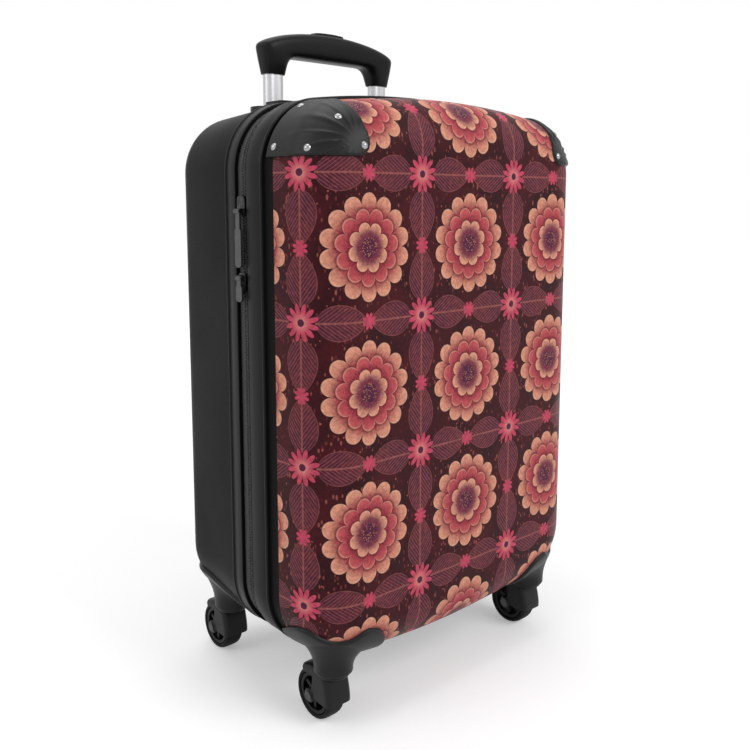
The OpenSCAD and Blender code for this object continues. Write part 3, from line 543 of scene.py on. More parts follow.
def zip_strip(half, shift):
    """Closed section of tape and coil along the zipped sides; the coil's height waves."""
    count = int((ZIP_END - ZIP_START) / TOOTH * 6)
    s = np.linspace(ZIP_START, ZIP_END, count)
    wave = 0.72 + 0.28 * np.cos(2 * np.pi * (s / TOOTH + shift))
    arc = np.linspace(0, np.pi, 7)
    coil_d = -COIL_FREE + COIL_R - COIL_R * np.cos(arc)
    coil_u = TAPE_U + wave[:, None] * COIL_R * np.sin(arc)[None]
    flat_d = np.array([8 * MM, 8 * MM, -COIL_FREE])
    flat_u = np.array([TAPE_U, TAPE_U - TAPE_T, TAPE_U - TAPE_T])
    d = np.concatenate([np.broadcast_to(coil_d, coil_u.shape), np.broadcast_to(flat_d, (count, 3))], 1)
    u = np.concatenate([coil_u, np.broadcast_to(flat_u, (count, 3))], 1)
    return carry_round(half, np.stack([u, d], -1), s)


for half, shift in (("front", 0.0), ("back", 0.5)):
    add_piece(f"{half}_zip_coil", *tube(zip_strip(half, shift)), TAPE, f"{half}_half", "tape",
              [f"{half}_zip_tape"])

# %% [markdown]
# ## Hinge tape
# On the fourth side a strip of cloth holds the lid. It is a fine grid with a low ripple
# along its middle, and it is carried by neither half.

# %% Hinge tape
HINGE_X = HALF_W + TAPE_U
y = np.linspace(4.5, -27.0, 40) * MM
z = np.linspace(-SIDE_L - 0.7 * MM, SIDE_L + 0.7 * MM, 60)
zz, yy = np.meshgrid(z, y, indexing="ij")
ripple = 0.25 * MM * np.sin(zz * 90) * np.exp(-((yy + 11.5 * MM) / (6 * MM)) ** 2)
inner = np.stack([HINGE_X - 0.9 * MM + ripple, yy, CASE_Z + zz], -1)
outer = inner + np.array([0.8 * MM, 0, 0])
points, faces = skin(outer, inner)
hinge_tape = add_piece("hinge_cloth", points, faces, TAPE, None, "tape", ["hinge_tape"])
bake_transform(hinge_tape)

# %% [markdown]
# ## Printed film
# The front is covered with a printed film that ends in a thin lip on the walls, with a
# bare border behind it. The film is the shell's map lifted by its thickness. The map is
# stored as its UV, so the print runs over the rounded edge as it does on the case.

# %% Film
film_reach = reach_to("front", 34.5 * MM)
LIP = 0.5 * MM
beyond = np.concatenate([steps_to("front", film_reach - LIP, 6),
                         film_reach - LIP * np.array([0.6, 0.25, 0.0])])
lift = np.full(len(FACE_RINGS) + len(beyond), FILM_T)
lift[-3:] = FILM_T * np.array([0.97, 0.75, 0.12])
film_q = shell_map("front", STOPS, FACE_RINGS, beyond)
points, faces = skin(on_half("front", film_q, lift[:, None]), on_half("front", film_q, 0.03 * MM), True)
film_uv = np.concatenate([film_q.reshape(-1, 2)] * 2)

# %% [markdown]
# ### The print
# The print is a design made for this scene: round flowers of three rings on a square
# lattice, stars halfway between them and a cross of four leaves round each star, on
# burgundy with painted flecks. It is worked out in polar coordinates of each lattice cell,
# so it stays sharp at any size.

# %% Print finish
GROUND, GROUND_DEEP = (0.070, 0.0075, 0.0115), (0.034, 0.0038, 0.0070)
LEAF, LEAF_VEIN, LEAF_EDGE = (0.165, 0.032, 0.042), (0.34, 0.100, 0.092), (0.085, 0.018, 0.040)
PEACH, SALMON = (0.80, 0.335, 0.225), (0.60, 0.105, 0.115)
RASPBERRY, PLUM = (0.27, 0.016, 0.042), (0.095, 0.018, 0.055)
PINK = (0.62, 0.075, 0.135)
PITCH = 0.118


def lattice(x, z, shift_x, shift_z):
    """Coordinates from the middle of the nearest cell of a lattice, and their polar form."""
    lx = ((x / PITCH + shift_x).fract() - 0.5) * PITCH
    lz = ((z / PITCH + shift_z).fract() - 0.5) * PITCH
    return lx, lz, (lx * lx + lz * lz) ** 0.5, lz.bearing(lx)


def petal_ring(below, radius, angle, streak, size, depth, count, turn, inner, tip):
    """A ring of round petals over a colour: edge radius, gradient to the tip, dark gaps, pale rims."""
    across = (angle * (count / (2 * np.pi)) + turn).fract() * 2 - 1
    edge = (1 - across * across).larger(0.0) ** 0.5 * depth + (size - depth)
    mask = (edge - radius).ease(-0.0004, 0.0005)
    height = (radius - (size - 1.9 * depth)) / (1.9 * depth)
    tint = (height + streak * 0.45 - 0.22).ease(0.15, 0.85)
    colour = tint.blend(inner, tip)
    rays = (abs(across) * 19).sine() * 0.5 + 0.5
    colour = (rays * height.ease(0.75, 0.1) * 0.45).blend(colour, SALMON)
    rim = (edge - radius).ease(0.0022, 0.0004)
    colour = (rim * 0.35).blend(colour, (0.92, 0.60, 0.40))
    gap = abs(across).ease(0.86, 0.99) * (edge - radius).ease(0.0, 0.004)
    colour = (gap * 0.8).blend(colour, RASPBERRY)
    shadow = (edge - radius).ease(-0.0030, 0.0) * 0.55
    return mask.blend(shadow.blend(below, GROUND_DEEP), colour)


def print_finish():
    """Layers from the ground up: burgundy with flecks, leaves, stars and the ringed flowers."""
    material, shader, place = start_finish("floral_print_film", IOR=1.45, Specular_IOR_Level=0.12)
    chart = place.node("ShaderNodeUVMap", {"uv_map": "face_map"}, {})
    x, z, _ = chart.axes()
    brush = chart.noise(260, 4, 0.65)
    slow = chart.noise(24, 3)
    colour = slow.ease(0.35, 0.65).blend(GROUND_DEEP, GROUND)
    fleck_place = chart.stretch(1.0, 0.45, 1.0)
    fleck = fleck_place.cells(330)
    pick = fleck_place.cells(330, "Color").axes()
    fleck_tone = pick[2].blend((0.13, 0.020, 0.026), (0.32, 0.085, 0.070))
    colour = ((fleck + pick[0] * 0.2).ease(0.42, 0.26) * (pick[1] > 0.2)).blend(colour, fleck_tone)
    dots = chart.cells(150)
    dot_pick = chart.cells(150, "Color").axes()
    colour = (dots.ease(0.15, 0.10) * (dot_pick[0] > 0.55)).blend(colour, (0.38, 0.085, 0.070))
    # Leaves: fold the four directions round a star into one
    lx, lz, radius, angle = lattice(x, z, 0.0, 0.0)
    along, across = abs(lx).larger(abs(lz)), abs(lx).smaller(abs(lz))
    share = (along - 0.0125) / 0.0455
    inside = (share > 0.0) * (share < 1.0)
    width = (share.larger(0.0) ** 0.62 * (1 - share).larger(0.0) ** 0.85) * 0.0400
    leaf = (width - across).ease(-0.0003, 0.0004) * inside
    veins = ((along - across * 1.35) * (2 * np.pi / 0.0042)).sine()
    vein = veins.ease(0.55, 0.95) * (width - across).ease(0.0, 0.0035)
    midrib = across.ease(0.0011, 0.0004)
    tone = (brush * 0.8 + share * 0.3).ease(0.3, 0.85).blend(LEAF_EDGE, LEAF)
    tone = (vein * 0.75).blend(tone, LEAF_VEIN)
    tone = midrib.blend(tone, LEAF_VEIN)
    tone = ((width - across).ease(0.0011, 0.0003) * 0.7).blend(tone, LEAF_VEIN)
    colour = leaf.blend(colour, tone)
    # Stars in the middle of the leaf crosses, and small ones where leaf tips meet
    ray = (abs((angle * 6).sine())) ** 0.7
    star = (0.0062 + ray * 0.0095 - radius).ease(-0.0003, 0.0005)
    star_tone = (radius / 0.013 + brush * 0.4).ease(0.25, 1.0).blend((0.80, 0.27, 0.24), PINK)
    colour = star.blend(colour, star_tone)
    colour = radius.ease(0.0034, 0.0028).blend(colour, PLUM)
    for shift in ((0.5, 0.0), (0.0, 0.5)):
        _, _, tip_r, tip_a = lattice(x, z, *shift)
        burst = (0.0020 + abs((tip_a * 4).sine()) ** 0.5 * 0.0052 - tip_r).ease(-0.0003, 0.0004)
        colour = burst.blend(colour, PINK)
    # Flowers of three rings in the middle between the stars
    _, _, bloom, bearing = lattice(x, z, 0.5, 0.5)
    streak = chart.noise(420, 3, 0.6)
    for ring in ((0.0435, 0.0105, 14, 0.0, RASPBERRY, PEACH), (0.0315, 0.0085, 11, 0.3, RASPBERRY, SALMON),
                 (0.0205, 0.0065, 8, 0.1, PLUM, PEACH)):
        colour = petal_ring(colour, bloom, bearing, streak, *ring)
    heart = bloom.ease(0.0088, 0.0080)
    seeds = chart.cells(620).ease(0.45, 0.2)
    colour = heart.blend(colour, seeds.blend(PLUM, (0.55, 0.20, 0.10)))
    colour = brush.ease(0.25, 0.75, 0.58, 0.95).darken(colour)
    feed(shader, height=chart.noise(1500, 2) + brush * 0.4, depth=0.00002, Base_Color=colour,
         Roughness=slow.ease(0.3, 0.7, 0.40, 0.50))
    return material


PRINT = print_finish()
add_piece("printed_film_skin", points, faces, PRINT, "front_half", "print", ["printed_film"], uv=film_uv)
print("print nodes:", len(PRINT.node_tree.nodes))

# %% [markdown]
# ## Moulded corners
# A guard or a bracket is a shaped patch of the shell's map, lifted by its thickness. Its
# visible edge is a line on the map, and its other side is a line along the wall. Between
# them runs a grid, and the distance to the border rounds the rim like a pressed edge.

# %% Patches on the map


def even(line, count):
    """The same line with points at even distances."""
    step = np.linalg.norm(np.diff(line, axis=0), axis=1)
    length = np.concatenate([[0], np.cumsum(step)])
    at = np.linspace(0, length[-1], count)
    return np.stack([np.interp(at, length, line[:, i]) for i in range(line.shape[1])], -1)


def smooth_line(knots, at):
    """A curve through knots: cubic pieces whose slope at a knot is half the step over it.

    at holds the places wanted, counted in knots, or just how many there are."""
    k = np.asarray(knots, float)
    k = np.concatenate([[2 * k[0] - k[1]], k, [2 * k[-1] - k[-2]]])
    at = np.linspace(0, len(knots) - 1, at) if isinstance(at, int) else at
    i = np.minimum(at.astype(int), len(knots) - 2)
    t = (at - i)[:, None]
    a, b, c, d = k[i], k[i + 1], k[i + 2], k[i + 3]
    return b + 0.5 * t * (c - a + t * (2 * a - 5 * b + 4 * c - d + t * (3 * (b - c) + d - a)))


def unroll(half, p):
    """Map points of places (x, z) seen from the front, on the face or its rounded edge."""
    far, normal = beyond_face(half, p)
    edge_r = HALVES[half][3]
    return p + (edge_r * np.arcsin(np.minimum(far / edge_r, np.cos(DRAFT))) - far)[..., None] * normal


def corner_radius(half, far):
    """Radius about the corner's axis, seen from the front, at map distances beyond the face."""
    bend, edge_r = round_length(half), HALVES[half][3]
    grow = edge_r * np.sin(np.minimum(far, bend) / edge_r) + np.maximum(far - bend, 0) * np.sin(DRAFT)
    return CORNER_R + edge_line(half) + grow


def corner_map(half, far, turn):
    """Map points about the corner's axis."""
    radius = CORNER_R + edge_line(half) + far
    return np.array([CORNER_X, CORNER_C]) + radius[:, None] * np.stack([np.cos(turn), np.sin(turn)], -1)


def chart(half, s, far):
    """Map points at arc lengths s of the outline and distances far beyond the face."""
    point, normal = outline(s)
    return point + np.asarray(edge_line(half) + far)[..., None] * normal


def between(near, far_side):
    """Map points of a grid from one line to another, with closer rows along both."""
    t = np.concatenate([[0, 0.006, 0.014, 0.026, 0.042, 0.062], np.linspace(0.085, 0.955, 44),
                        [0.975, 0.988, 1.0]])[:, None, None]
    return near[None] + t * (far_side - near)[None]


def moulded_cover(name, half, near, far_side, mirror, low, rise, soft, body, node, folds=0.0):
    """A cover from a visible edge to a line on the wall, with a rounded rim and optional folds."""
    q = between(near, far_side) * np.array(mirror)
    base = on_half(half, q, low)
    border = np.concatenate([base[0], base[-1]])[None, None]
    gap = np.sqrt(((base[:, :, None] - border) ** 2).sum(-1)).min(-1)
    bulge = np.sqrt(1 - (1 - np.clip(gap / soft, 0, 1)) ** 2)
    points, faces = skin(on_half(half, q, low + (rise + folds) * bulge), base)
    add_piece(name, points, faces, MOULDED, body, "moulded", [node], sharp=50)


print("patch helpers ready")

# %% [markdown]
# ## Corner guards
# Each top corner has a guard with a level lower edge, a leaning inner edge and a round
# corner between them. Like a pressed hide it gathers in low folds over the front corner.

# %% Guards
GUARD_W, GUARD_H, GUARD_ROUND, GUARD_LEAN = 58 * MM, 60 * MM, 12 * MM, np.radians(9)
COVER_FAR = reach_to("front", 26.5 * MM)
middle = np.array([HALF_W - GUARD_W + GUARD_ROUND * (1 + np.sin(GUARD_LEAN)) / np.cos(GUARD_LEAN),
                   HALF_H - GUARD_H + GUARD_ROUND])
swing = np.linspace(-np.pi / 2, -np.pi - GUARD_LEAN, 40)
round_corner = unroll("front", middle + GUARD_ROUND * np.stack([np.cos(swing), np.sin(swing)], -1))
far_a, far_b = beyond_face("front", round_corner[[0, -1]])[0]
far = np.linspace(COVER_FAR, far_a, 60)
level = corner_map("front", far, np.arcsin((HALF_H - GUARD_H - CORNER_C) / corner_radius("front", far)))
far = np.linspace(far_b, COVER_FAR, 60)
away = np.array([-np.cos(GUARD_LEAN), np.sin(GUARD_LEAN)])
hold = (middle + GUARD_ROUND * away - np.array([CORNER_X, CORNER_C])) @ away
lean_turn = np.arccos(-hold / corner_radius("front", far)) - GUARD_LEAN
leaning = corner_map("front", far, lean_turn)
guard_edge = even(np.concatenate([level, round_corner[1:-1], leaning]), 200)
start = SIDE_L + CORNER_R * np.arcsin((HALF_H - GUARD_H - CORNER_C) / corner_radius("front", COVER_FAR))
guard_far = chart("front", np.linspace(start, SIDE_L + CORNER_R * lean_turn[-1], 200), COVER_FAR)


def guard_folds(near, far_side):
    """Low creases that fan out from the guard's lower corner and fade towards its edges."""
    q = (between(near, far_side) - middle) / MM
    turn, out = np.arctan2(q[..., 1], q[..., 0]), np.hypot(q[..., 0], q[..., 1])
    fan = np.cos(turn * 15 + 1.3 * np.sin(turn * 4) + 0.02 * out) * 0.5 + 0.5
    fade = np.clip((out - 5) / 9, 0, 1) * np.clip((62 - out) / 36, 0, 1)
    return 0.8 * MM * fan ** 4 * fade


HANDS = ((-1, "left"), (1, "right"))
for side, word in HANDS:
    moulded_cover(f"guard_{word}", "front", guard_edge, guard_far, (side, 1), FILM_OUT, GUARD_T, 1.8 * MM,
                  "front_half", f"corner_guard_{word}", guard_folds(guard_edge, guard_far))

# %% [markdown]
# ## Wheel brackets
# The brackets hold the casters at the bottom corners. Their upper edge sweeps in an S from
# the side wall over the corner, ends in a round lobe on the face and runs back underneath.
# The rear ones reach forward on the walls in a long falling curve.

# %% Brackets
# Arc length past the side's straight part and distance beyond the face, in mm
FRONT_EDGE = [(36.4, 89.5), (35.3, 87.7), (27.7, 74.9), (22.2, 61), (22.2, 53), (26.8, 46.5), (35.5, 40.5),
              (46.5, 33), (57, 23.5), (67.5, 13.4), (77, 10), (86.5, 9.4), (97.2, 12.2), (107.3, 19.5),
              (113, 28.5), (115, 40), (115, 64.5), (115, 89.5)]
REAR_EDGE = [(58.2, 117.4), (49.3, 100), (35.4, 75.9), (29.4, 59.9), (27.4, 45.9), (27.3, 37.6), (32.9, 18.9),
             (43.6, 7.6), (61.4, -0.6), (81.7, -3.9), (95, -2.8), (103.9, 1.1), (110.5, 8.1), (113.7, 18.9),
             (114.5, 31.2), (114.5, 60), (114.5, 89), (114.5, 117.4)]
for half, word, knots, low in (("front", "front", FRONT_EDGE, FILM_OUT),
                               ("back", "rear", REAR_EDGE, 0.1 * MM)):
    line = smooth_line(np.array(knots) * MM, 240) + [SIDE_L, 0]
    near = even(chart(half, line[:, 0], line[:, 1]), 240)
    other = chart(half, np.linspace(line[0, 0], line[-1, 0], 240), line[0, 1])
    for side, hand in HANDS:
        node = f"{word}_bracket_{hand}"
        moulded_cover(f"{node}_form", half, near, other, (side, -1), low, BRACKET_T, 2.6 * MM,
                      f"{half}_half", node)

# %% [markdown]
# ## Caster drums
# A drum stands under each bracket, round about the swivel axis, and flares into the
# curved underside, so each ring is a share of the height of the shell above it.

# %% Drums
SWIVEL_X, SWIVEL_Y, DRUM_Z = 132 * MM, 81 * MM, 50 * MM


def underside(half, x, y, off):
    """Height above the ground of the shell's underside, off metres outside it."""
    open_y, depth, way, edge_r = HALVES[half]
    past = way * (y - open_y) - (depth - edge_r)
    u = np.where(past > edge_r * np.sin(DRAFT),
                 edge_line(half) + np.sqrt(np.maximum((edge_r + off) ** 2 - past ** 2, 0)),
                 wall_u(past + depth - edge_r, off))
    x = np.abs(x)
    bend = CORNER_C + np.sqrt(np.maximum((CORNER_R + u) ** 2 - (x - CORNER_X) ** 2, 0))
    crown = CROWN_C + np.sqrt((CROWN_R + u) ** 2 - x ** 2)
    return CASE_Z - np.where(x > CORNER_X + (CORNER_R + u) * np.cos(CORNER_TURN), bend, crown)


turn = np.linspace(0, 2 * np.pi, 64, endpoint=False)
radii = np.array([0, 10, 15.6, 16.6, 17.1, 17.2, 17.2, 17.5, 18.0, 18.9, 20.2, 21.8, 23.6, 24.6, 14, 0]) * MM
share = np.array([0, 0, 0, 0.02, 0.05, 0.09, 0.26, 0.42, 0.56, 0.69, 0.81, 0.91, 0.985, 1.03, 1.06, 1.06])
for half, word, y0 in (("front", "front", -SWIVEL_Y), ("back", "rear", SWIVEL_Y)):
    for side, hand in HANDS:
        x = side * SWIVEL_X + radii[:, None] * np.cos(turn)
        y = y0 + radii[:, None] * np.sin(turn)
        over = underside(half, x, y, BRACKET_T + (FILM_OUT if half == "front" else 0))
        z = DRUM_Z + share[:, None] * (over - DRUM_Z)
        z = np.where(radii[:, None] == 0, z.mean(1, keepdims=True), z)
        node = f"socket_{word}_{hand}"
        add_piece(f"{node}_drum", *tube(np.stack([x, y, z], -1)), MOULDED, f"{half}_half", "moulded", [node],
                  sharp=50)

# %% [markdown]
# ## Casters
# A fork is a hood over the front of the wheel: a U-shaped section carried round the axle,
# with cheeks that reach down to the axle in a wedge and a crest that rises to the drum.
# Tyres, axle bosses and the fork's plate are turned from profiles.

# %% Forks and tyres
AXLE_Z, TRAIL, HOOD_IN, CHEEK, CHEEK_T = 23 * MM, 18 * MM, 24.3 * MM, 13.2 * MM, 2.7 * MM


def lathe(profile, centre, axis, count=64):
    """Profile points (radius, along) turned about the X axis (0) or the Z axis (2) through a centre."""
    turn = np.linspace(0, 2 * np.pi, count, endpoint=False)
    radius, along = profile[:, :1], np.broadcast_to(profile[:, 1:], (len(profile), count))
    a, b = radius * np.cos(turn), radius * np.sin(turn)
    return np.stack([along, a, b] if axis == 0 else [a, b, along], -1) + np.asarray(centre)


def bulged(wave, power):
    """A sine or cosine raised to a power with its sign kept, for squares with round corners."""
    return np.sign(wave) * np.abs(wave) ** power


def joined(parts):
    """Points and faces of several closed parts as one mesh."""
    starts = np.cumsum([0] + [len(points) for points, _ in parts[:-1]])
    return (np.concatenate([points for points, _ in parts]),
            np.concatenate([faces + start for (_, faces), start in zip(parts, starts)]))


def hood(centre):
    """The fork's hood: outer and inner U paths, row by row round the axle from front to top."""
    a = np.radians(np.linspace(-4, 112, 48))[:, None]
    crest = HOOD_IN + 3.2 * MM + 5 * MM * np.exp(-((np.degrees(a) - 56) / 25) ** 2)
    reach = np.clip((78 - np.degrees(a)) / 16, 0, 1)
    low = 20.5 * MM - 18.5 * MM * reach * reach * (3 - 2 * reach)
    climb, arc = np.linspace(0, 1, 7)[:-1], np.linspace(0, np.pi / 2, 6)
    paths = []
    for side, top, round_r in ((CHEEK, crest, 4.5 * MM), (CHEEK - CHEEK_T, HOOD_IN + 0 * a, 1.5 * MM)):
        up = low + climb * (top - round_r - low)
        bend = top - round_r + round_r * np.sin(arc)
        x = np.concatenate([np.full(6, side), side - round_r + round_r * np.cos(arc)])
        paths.append((np.concatenate([x, -x[::-1]]),
                      np.concatenate([up, bend, bend[:, ::-1], up[:, ::-1]], 1)))
    layers = [np.stack([np.broadcast_to(x, r.shape), -r * np.cos(a), r * np.sin(a)], -1) for x, r in paths]
    return skin(*(centre + layer for layer in layers))


ring = np.linspace(0, 2 * np.pi, 36, endpoint=False)
tread = np.stack([20.5 + 2.5 * bulged(np.sin(ring), 0.75), 9 * bulged(np.cos(ring), 0.6)], -1) * MM
boss = np.array([(0, 10.4), (6.2, 10.4), (6.2, 12.9), (5.7, 13.5), (4.6, 13.7), (0, 13.7)]) * MM
plate = np.array([(0, 44.5), (9, 44.5), (14.2, 47.2), (15, 48.4), (15, 49.4), (14.6, 49.8), (0, 49.8)]) * MM
for word, y0 in (("front", -SWIVEL_Y), ("rear", SWIVEL_Y)):
    for side, hand in HANDS:
        name = f"{word}_{hand}"
        axle = np.array([side * SWIVEL_X, y0 + TRAIL, AXLE_Z])
        turned = [lathe(boss * [1, way], axle, 0) for way in (-1, 1)] + [lathe(plate, (axle[0], y0, 0), 2)]
        parts = [hood(axle)] + [tube(p) for p in turned]
        add_piece(f"fork_{name}_hood", *joined(parts), MOULDED, f"caster_{name}", "moulded", [f"fork_{name}"],
                  sharp=50)
        add_piece(f"tyre_{name}_tread", *tube(lathe(tread, axle, 0, 80), True), TYRE, f"wheel_{name}", "tyre",
                  [f"tyre_{name}"], sharp=60)

# %% [markdown]
# ## Grip
# The grip is a rounded section that changes along an arch: each section runs from a point
# of the outer curve to one of the inner curve. The legs get shallower towards their feet,
# which close round the tubes. A dish in the top leaves room for the release button.

# %% Grip
GRIP_DEEP, FOOT_DEEP, FOOT_Z, LEG_H, GRIP_Y = 13 * MM, 7.7 * MM, 574.6 * MM, 26 * MM, 88 * MM
outer_knots = np.array([(-79.7, 574.6), (-81, 585), (-82.5, 595), (-83.3, 601.8), (-80.6, 605.4),
                        (-72, 609.4), (-58, 613.3), (-40, 616.5), (-20, 618.5), (0, 619.2)]) * MM
inner_knots = np.array([(-56.3, 574.6), (-55.7, 580), (-54.4, 585.2), (-51.6, 589.2), (-47.4, 591.5),
                        (-42, 592.2), (-36, 592.2), (-24, 592.2), (-12, 592.2), (0, 592.2)]) * MM
at = np.concatenate([np.linspace(0, 7, 50), np.linspace(7, 11, 70)[1:-1], np.linspace(11, 18, 50)])
both = [smooth_line(np.concatenate([k, k[-2::-1] * [-1, 1]]), at) for k in (outer_knots, inner_knots)]
turn = np.linspace(0, 2 * np.pi, 120, endpoint=False)
out = bulged(np.cos(turn), 0.62)
spine, half_wide = (both[0] + both[1]) / 2, (both[0] - both[1]) / 2
up = np.clip((spine[:, 1] - FOOT_Z) / LEG_H, 0, 1)
half_deep = FOOT_DEEP + (GRIP_DEEP - FOOT_DEEP) * up * (2 - up)
deep = half_deep[:, None] * bulged(np.sin(turn), 0.62)
flat = spine[:, None] + out[:, None] * half_wide[:, None]
from_button = np.hypot(np.maximum(np.abs(flat[..., 0]) - 14 * MM, 0), deep)
dish = np.clip((7.4 * MM - from_button) / (1.2 * MM), 0, 1) * (out > 0.3)
points = np.stack([flat[..., 0], GRIP_Y + deep, flat[..., 1] - 4.6 * MM * dish * dish * (3 - 2 * dish)], -1)
ends = [np.repeat(points[i:i + 1].mean(1, keepdims=True), 120, 1) for i in (0, len(at) - 1)]
points = np.concatenate([ends[0], points, ends[1]])
add_piece("rounded_grip", *tube(points), GRIP, "handle_inner", "moulded", ["handle_grip"], sharp=55)

# %% [markdown]
# ## Linings
# Inside, both halves are lined with cloth. The front one follows the shell's map; the
# back one goes down the walls to a floor over the handle's tubes. Slow waves let the
# cloth stand off the wall a little, as it does where it is glued only along its edges.

# %% Linings
LINING_OUT, CLOTH = -WALL_T - 0.25 * MM, 0.9 * MM
LINING_D, LOOSE, FADE_L, FLOOR_RINGS = 9 * MM, 1.6 * MM, 12 * MM, 40


def slack(a, b):
    """Waves of a loosely glued cloth, from 0 to 1: three sines that bend one another."""
    wave = np.sin(a * 70 + 2.2 * np.sin(b * 33)) + np.sin(b * 95 + 1.7 * np.sin(a * 41))
    return 0.5 + (wave + np.sin((a - b) * 52)) / 6


beyond = steps_to("front", reach_to("front", LINING_D), 14)
q = shell_map("front", STOPS, np.linspace(0, 1, FLOOR_RINGS), beyond)
fade = np.clip((beyond[-1] - beyond_face("front", q)[0]) / FADE_L, 0, 1)
inner = LINING_OUT - CLOTH - LOOSE * slack(q[..., 0], q[..., 1]) * fade
points, faces = skin(on_half("front", q, LINING_OUT), on_half("front", q, inner), True)
add_piece("front_lining_cloth", points, faces, LINING, "front_half", "lining", ["front_lining"])

FLOOR_D, FILLET = 77.9 * MM, 9 * MM
arc = np.linspace(0, np.pi / 2, 9)
level = np.ones(FLOOR_RINGS)
d = np.concatenate([FLOOR_D * level, FLOOR_D - FILLET + FILLET * np.cos(arc[1:]),
                    np.linspace(FLOOR_D - FILLET, LINING_D, 14)[1:]])
inset = np.concatenate([FILLET * level, FILLET - FILLET * np.sin(arc[1:]), np.zeros(13)])
rings = np.concatenate([np.linspace(0, 1, FLOOR_RINGS), np.ones(len(d) - FLOOR_RINGS)])[:, None, None]
away = np.concatenate([level, np.cos(arc[1:]), np.zeros(13)])[:, None]
point, normal = outline(STOPS)
sheet = rings * (point[None] + (wall_u(d, LINING_OUT) - inset)[:, None, None] * normal[None])
fade = np.clip((d - LINING_D) / FADE_L, 0, 1)[:, None]
layers = []
for loose in (np.zeros_like(sheet[..., 0]), CLOTH + LOOSE * slack(sheet[..., 0], sheet[..., 1]) * fade):
    flat = sheet - (loose * (1 - away))[..., None] * normal[None]
    y = HALVES["back"][0] + d[:, None] - loose * away
    layers.append(np.stack([flat[..., 0], y, CASE_Z + flat[..., 1]], -1))
points, faces = skin(*layers, True)
add_piece("back_lining_cloth", points, faces, LINING, "back_half", "lining", ["back_lining"])

# %% [markdown]
# ## Straps
# The packing straps are flat webbing laid over the lining, and the carry handles are thick
# flexible straps in a low arch. Both are one rounded section carried along a line.

# %% Straps


def ribbon(line, across, outwards, width, thick, power=0.45):
    """A strap: a superellipse of width and thickness at each point of a line, with closed ends."""
    turn = np.linspace(0, 2 * np.pi, 28, endpoint=False)
    wide, high = 0.5 * width * bulged(np.cos(turn), power), 0.5 * thick * bulged(np.sin(turn), power)
    body = line[:, None] + wide[None, :, None] * across + high[None, :, None] * outwards[:, None]
    ends = [np.repeat(line[:1, None], 28, 1), np.repeat(line[-1:, None], 28, 1)]
    return np.concatenate([ends[0], body, ends[1]])


for side, word in HANDS:
    x = np.linspace(31, 152.3, 60) * MM * side
    sag = 1.4 * MM * np.sin(np.linspace(0, np.pi, 60)) * (1 + 0.4 * np.sin(x * 90))
    bands = []
    for level in (-62.25 * MM, 62.25 * MM):
        line = np.stack([x, 72.6 * MM - sag, np.full(60, CASE_Z + level)], -1)
        band = ribbon(line, np.array([0, 0, 1.0]), np.tile([0, -1.0, 0], (60, 1)), 24.5 * MM, 1.3 * MM)
        bands.append(tube(band))
    add_piece(f"packing_strap_{word}_webbing", *joined(bands), WEBBING, "back_half", "webbing",
              [f"packing_strap_{word}"])

STRAP_T, STRAP_Y = 3.4 * MM, 41.7 * MM
along = np.linspace(-85, 85, 80) * MM
for name, arch_r, up, crest, base in (("top", 422 * MM, 2, 549.8 * MM, 0),
                                      ("side", 823 * MM, 0, 176.8 * MM, CASE_Z)):
    middle_r = arch_r - STRAP_T / 2
    lean = np.arcsin(along / middle_r)
    outwards = np.zeros((80, 3))
    outwards[:, 2 - up], outwards[:, up] = np.sin(lean), np.cos(lean)
    line = middle_r * outwards
    line[:, 2 - up] += base
    line[:, up] += crest - arch_r
    line[:, 1] = STRAP_Y
    points = ribbon(line, np.array([0, 1.0, 0]), outwards, 22 * MM, STRAP_T)
    add_piece(f"{name}_strap_webbing", *tube(points), WEBBING, "back_half", "webbing",
              [f"{name}_handle_strap"])

# %% [markdown]
# ## Stage
# A pale floor and a white world. The world lights the case softly and shows white to the
# camera and to reflections; the floor adds just enough glow for the camera to read as
# white where it is lit, and keeps the shadow under the wheels. Three soft lamps give the
# walls their gradients.

# %% Stage and light
floor_mesh = bpy.data.meshes.new("floor")
floor_mesh.from_pydata([(-8, -8, 0), (8, -8, 0), (8, 8, 0), (-8, 8, 0)], [], [(0, 1, 2, 3)])
floor = bpy.data.objects.new("floor", floor_mesh)
scene.collection.objects.link(floor)


def seen_in(tree):
    """A wire that is 1 for rays from the camera, reflections and glass, and 0 for light."""
    path = tree.nodes.new("ShaderNodeLightPath")
    kinds = ("Is Camera Ray", "Is Glossy Ray", "Is Transmission Ray")
    direct, mirrored, through = [Wire(tree, path.outputs[kind]) for kind in kinds]
    return direct.larger(mirrored).larger(through)


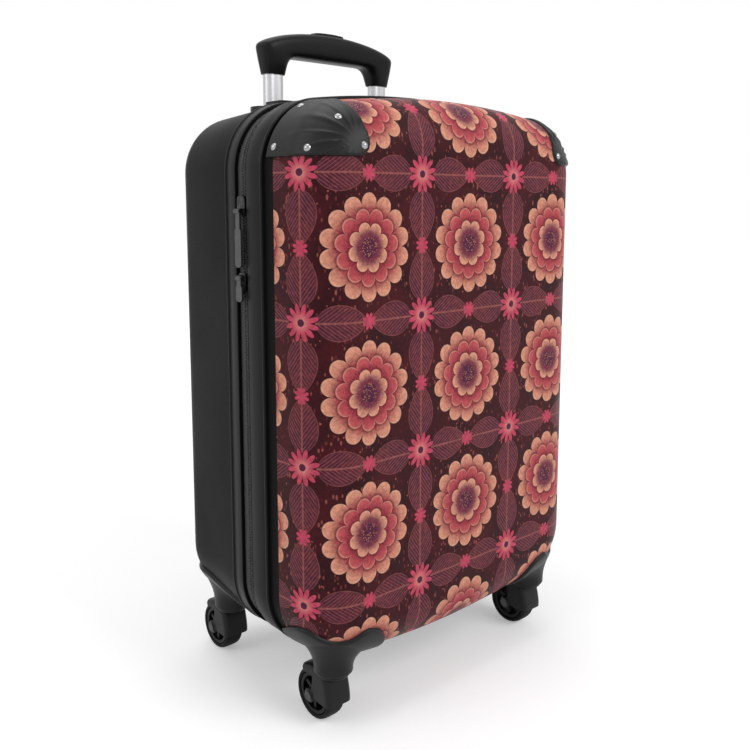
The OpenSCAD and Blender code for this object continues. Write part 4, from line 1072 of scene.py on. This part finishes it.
floor_finish, floor_shader, place = start_finish(
    "pale_floor", Base_Color=(0.78, 0.78, 0.79, 1), Roughness=0.9, Specular_IOR_Level=0.0)
tree = place.tree
away = place.node("ShaderNodeVectorMath", {"operation": "LENGTH"}, {0: place}, "Value")
glow = place.node("ShaderNodeEmission", {}, {"Color": seen_in(tree) * away.ease(0.45, 2.4, 0.32, 0.66)})
lit = glow.node("ShaderNodeAddShader", {}, {0: Wire(tree, floor_shader.outputs[0]), 1: glow})
tree.links.new(lit.socket, tree.nodes["Material Output"].inputs["Surface"])
floor_mesh.materials.append(floor_finish)

world = bpy.data.worlds.new("white_studio")
scene.world = world
world.use_nodes = True
tree = world.node_tree
backdrop = tree.nodes["Background"]
backdrop.inputs["Color"].default_value = (1, 1, 1, 1)
tree.links.new((seen_in(tree) * 0.45 + 0.55).socket, backdrop.inputs["Strength"])


def soft_lamp(name, at, aim, size, power):
    """A square area lamp at a place, turned towards another."""
    data = bpy.data.lights.new(name, "AREA")
    data.size, data.energy = size, power
    lamp = bpy.data.objects.new(name, data)
    lamp.location = at
    lamp.rotation_euler = (Vector(aim) - Vector(at)).to_track_quat("-Z", "Y").to_euler()
    scene.collection.objects.link(lamp)


soft_lamp("key", (0.6, -2.0, 1.7), (0, 0, 0.30), 1.2, 26)
soft_lamp("side", (-2.1, 0.3, 1.5), (0, 0, 0.30), 1.4, 14)
soft_lamp("over", (0.0, 0.3, 2.4), (0, 0, 0.30), 1.6, 16)
print("stage and three lamps ready")

# %% [markdown]
# ## Finishes of the CAD nodes that stay
# Rigid pieces whose solids are already right keep their CAD shape and only change their
# finish.

# %% Finishes on CAD nodes
KEPT = {
    MOULDED: ["handle_bezel", "handle_base", "strap_buckle", "top_handle_caps", "side_handle_caps"],
    GRIP: ["release_button"],
    TUBE: [n for n in NODES if "_tube_" in n],
    CHROME: ["guard_rivets"],
    SLIDER: ["zip_slider_upper", "zip_slider_lower"],
    TAB: ["pull_tab_upper", "pull_tab_lower"] + [n for n in NODES if n.startswith("axle_")],
    BOARD: ["tube_cover_board"],
    RIM: [n for n in NODES if n.startswith("hub_")],
}
for material, names in KEPT.items():
    for name in names:
        data = NODES[name].data
        data.materials.clear()
        data.materials.append(material)
print("finishes on", sum(map(len, KEPT.values())), "CAD nodes")

# %% [markdown]
# ## Last update
# The view layer is brought up to date. The dressed model may stand only a little
# proud of the CAD box.

# %% Finish
bpy.context.view_layer.update()
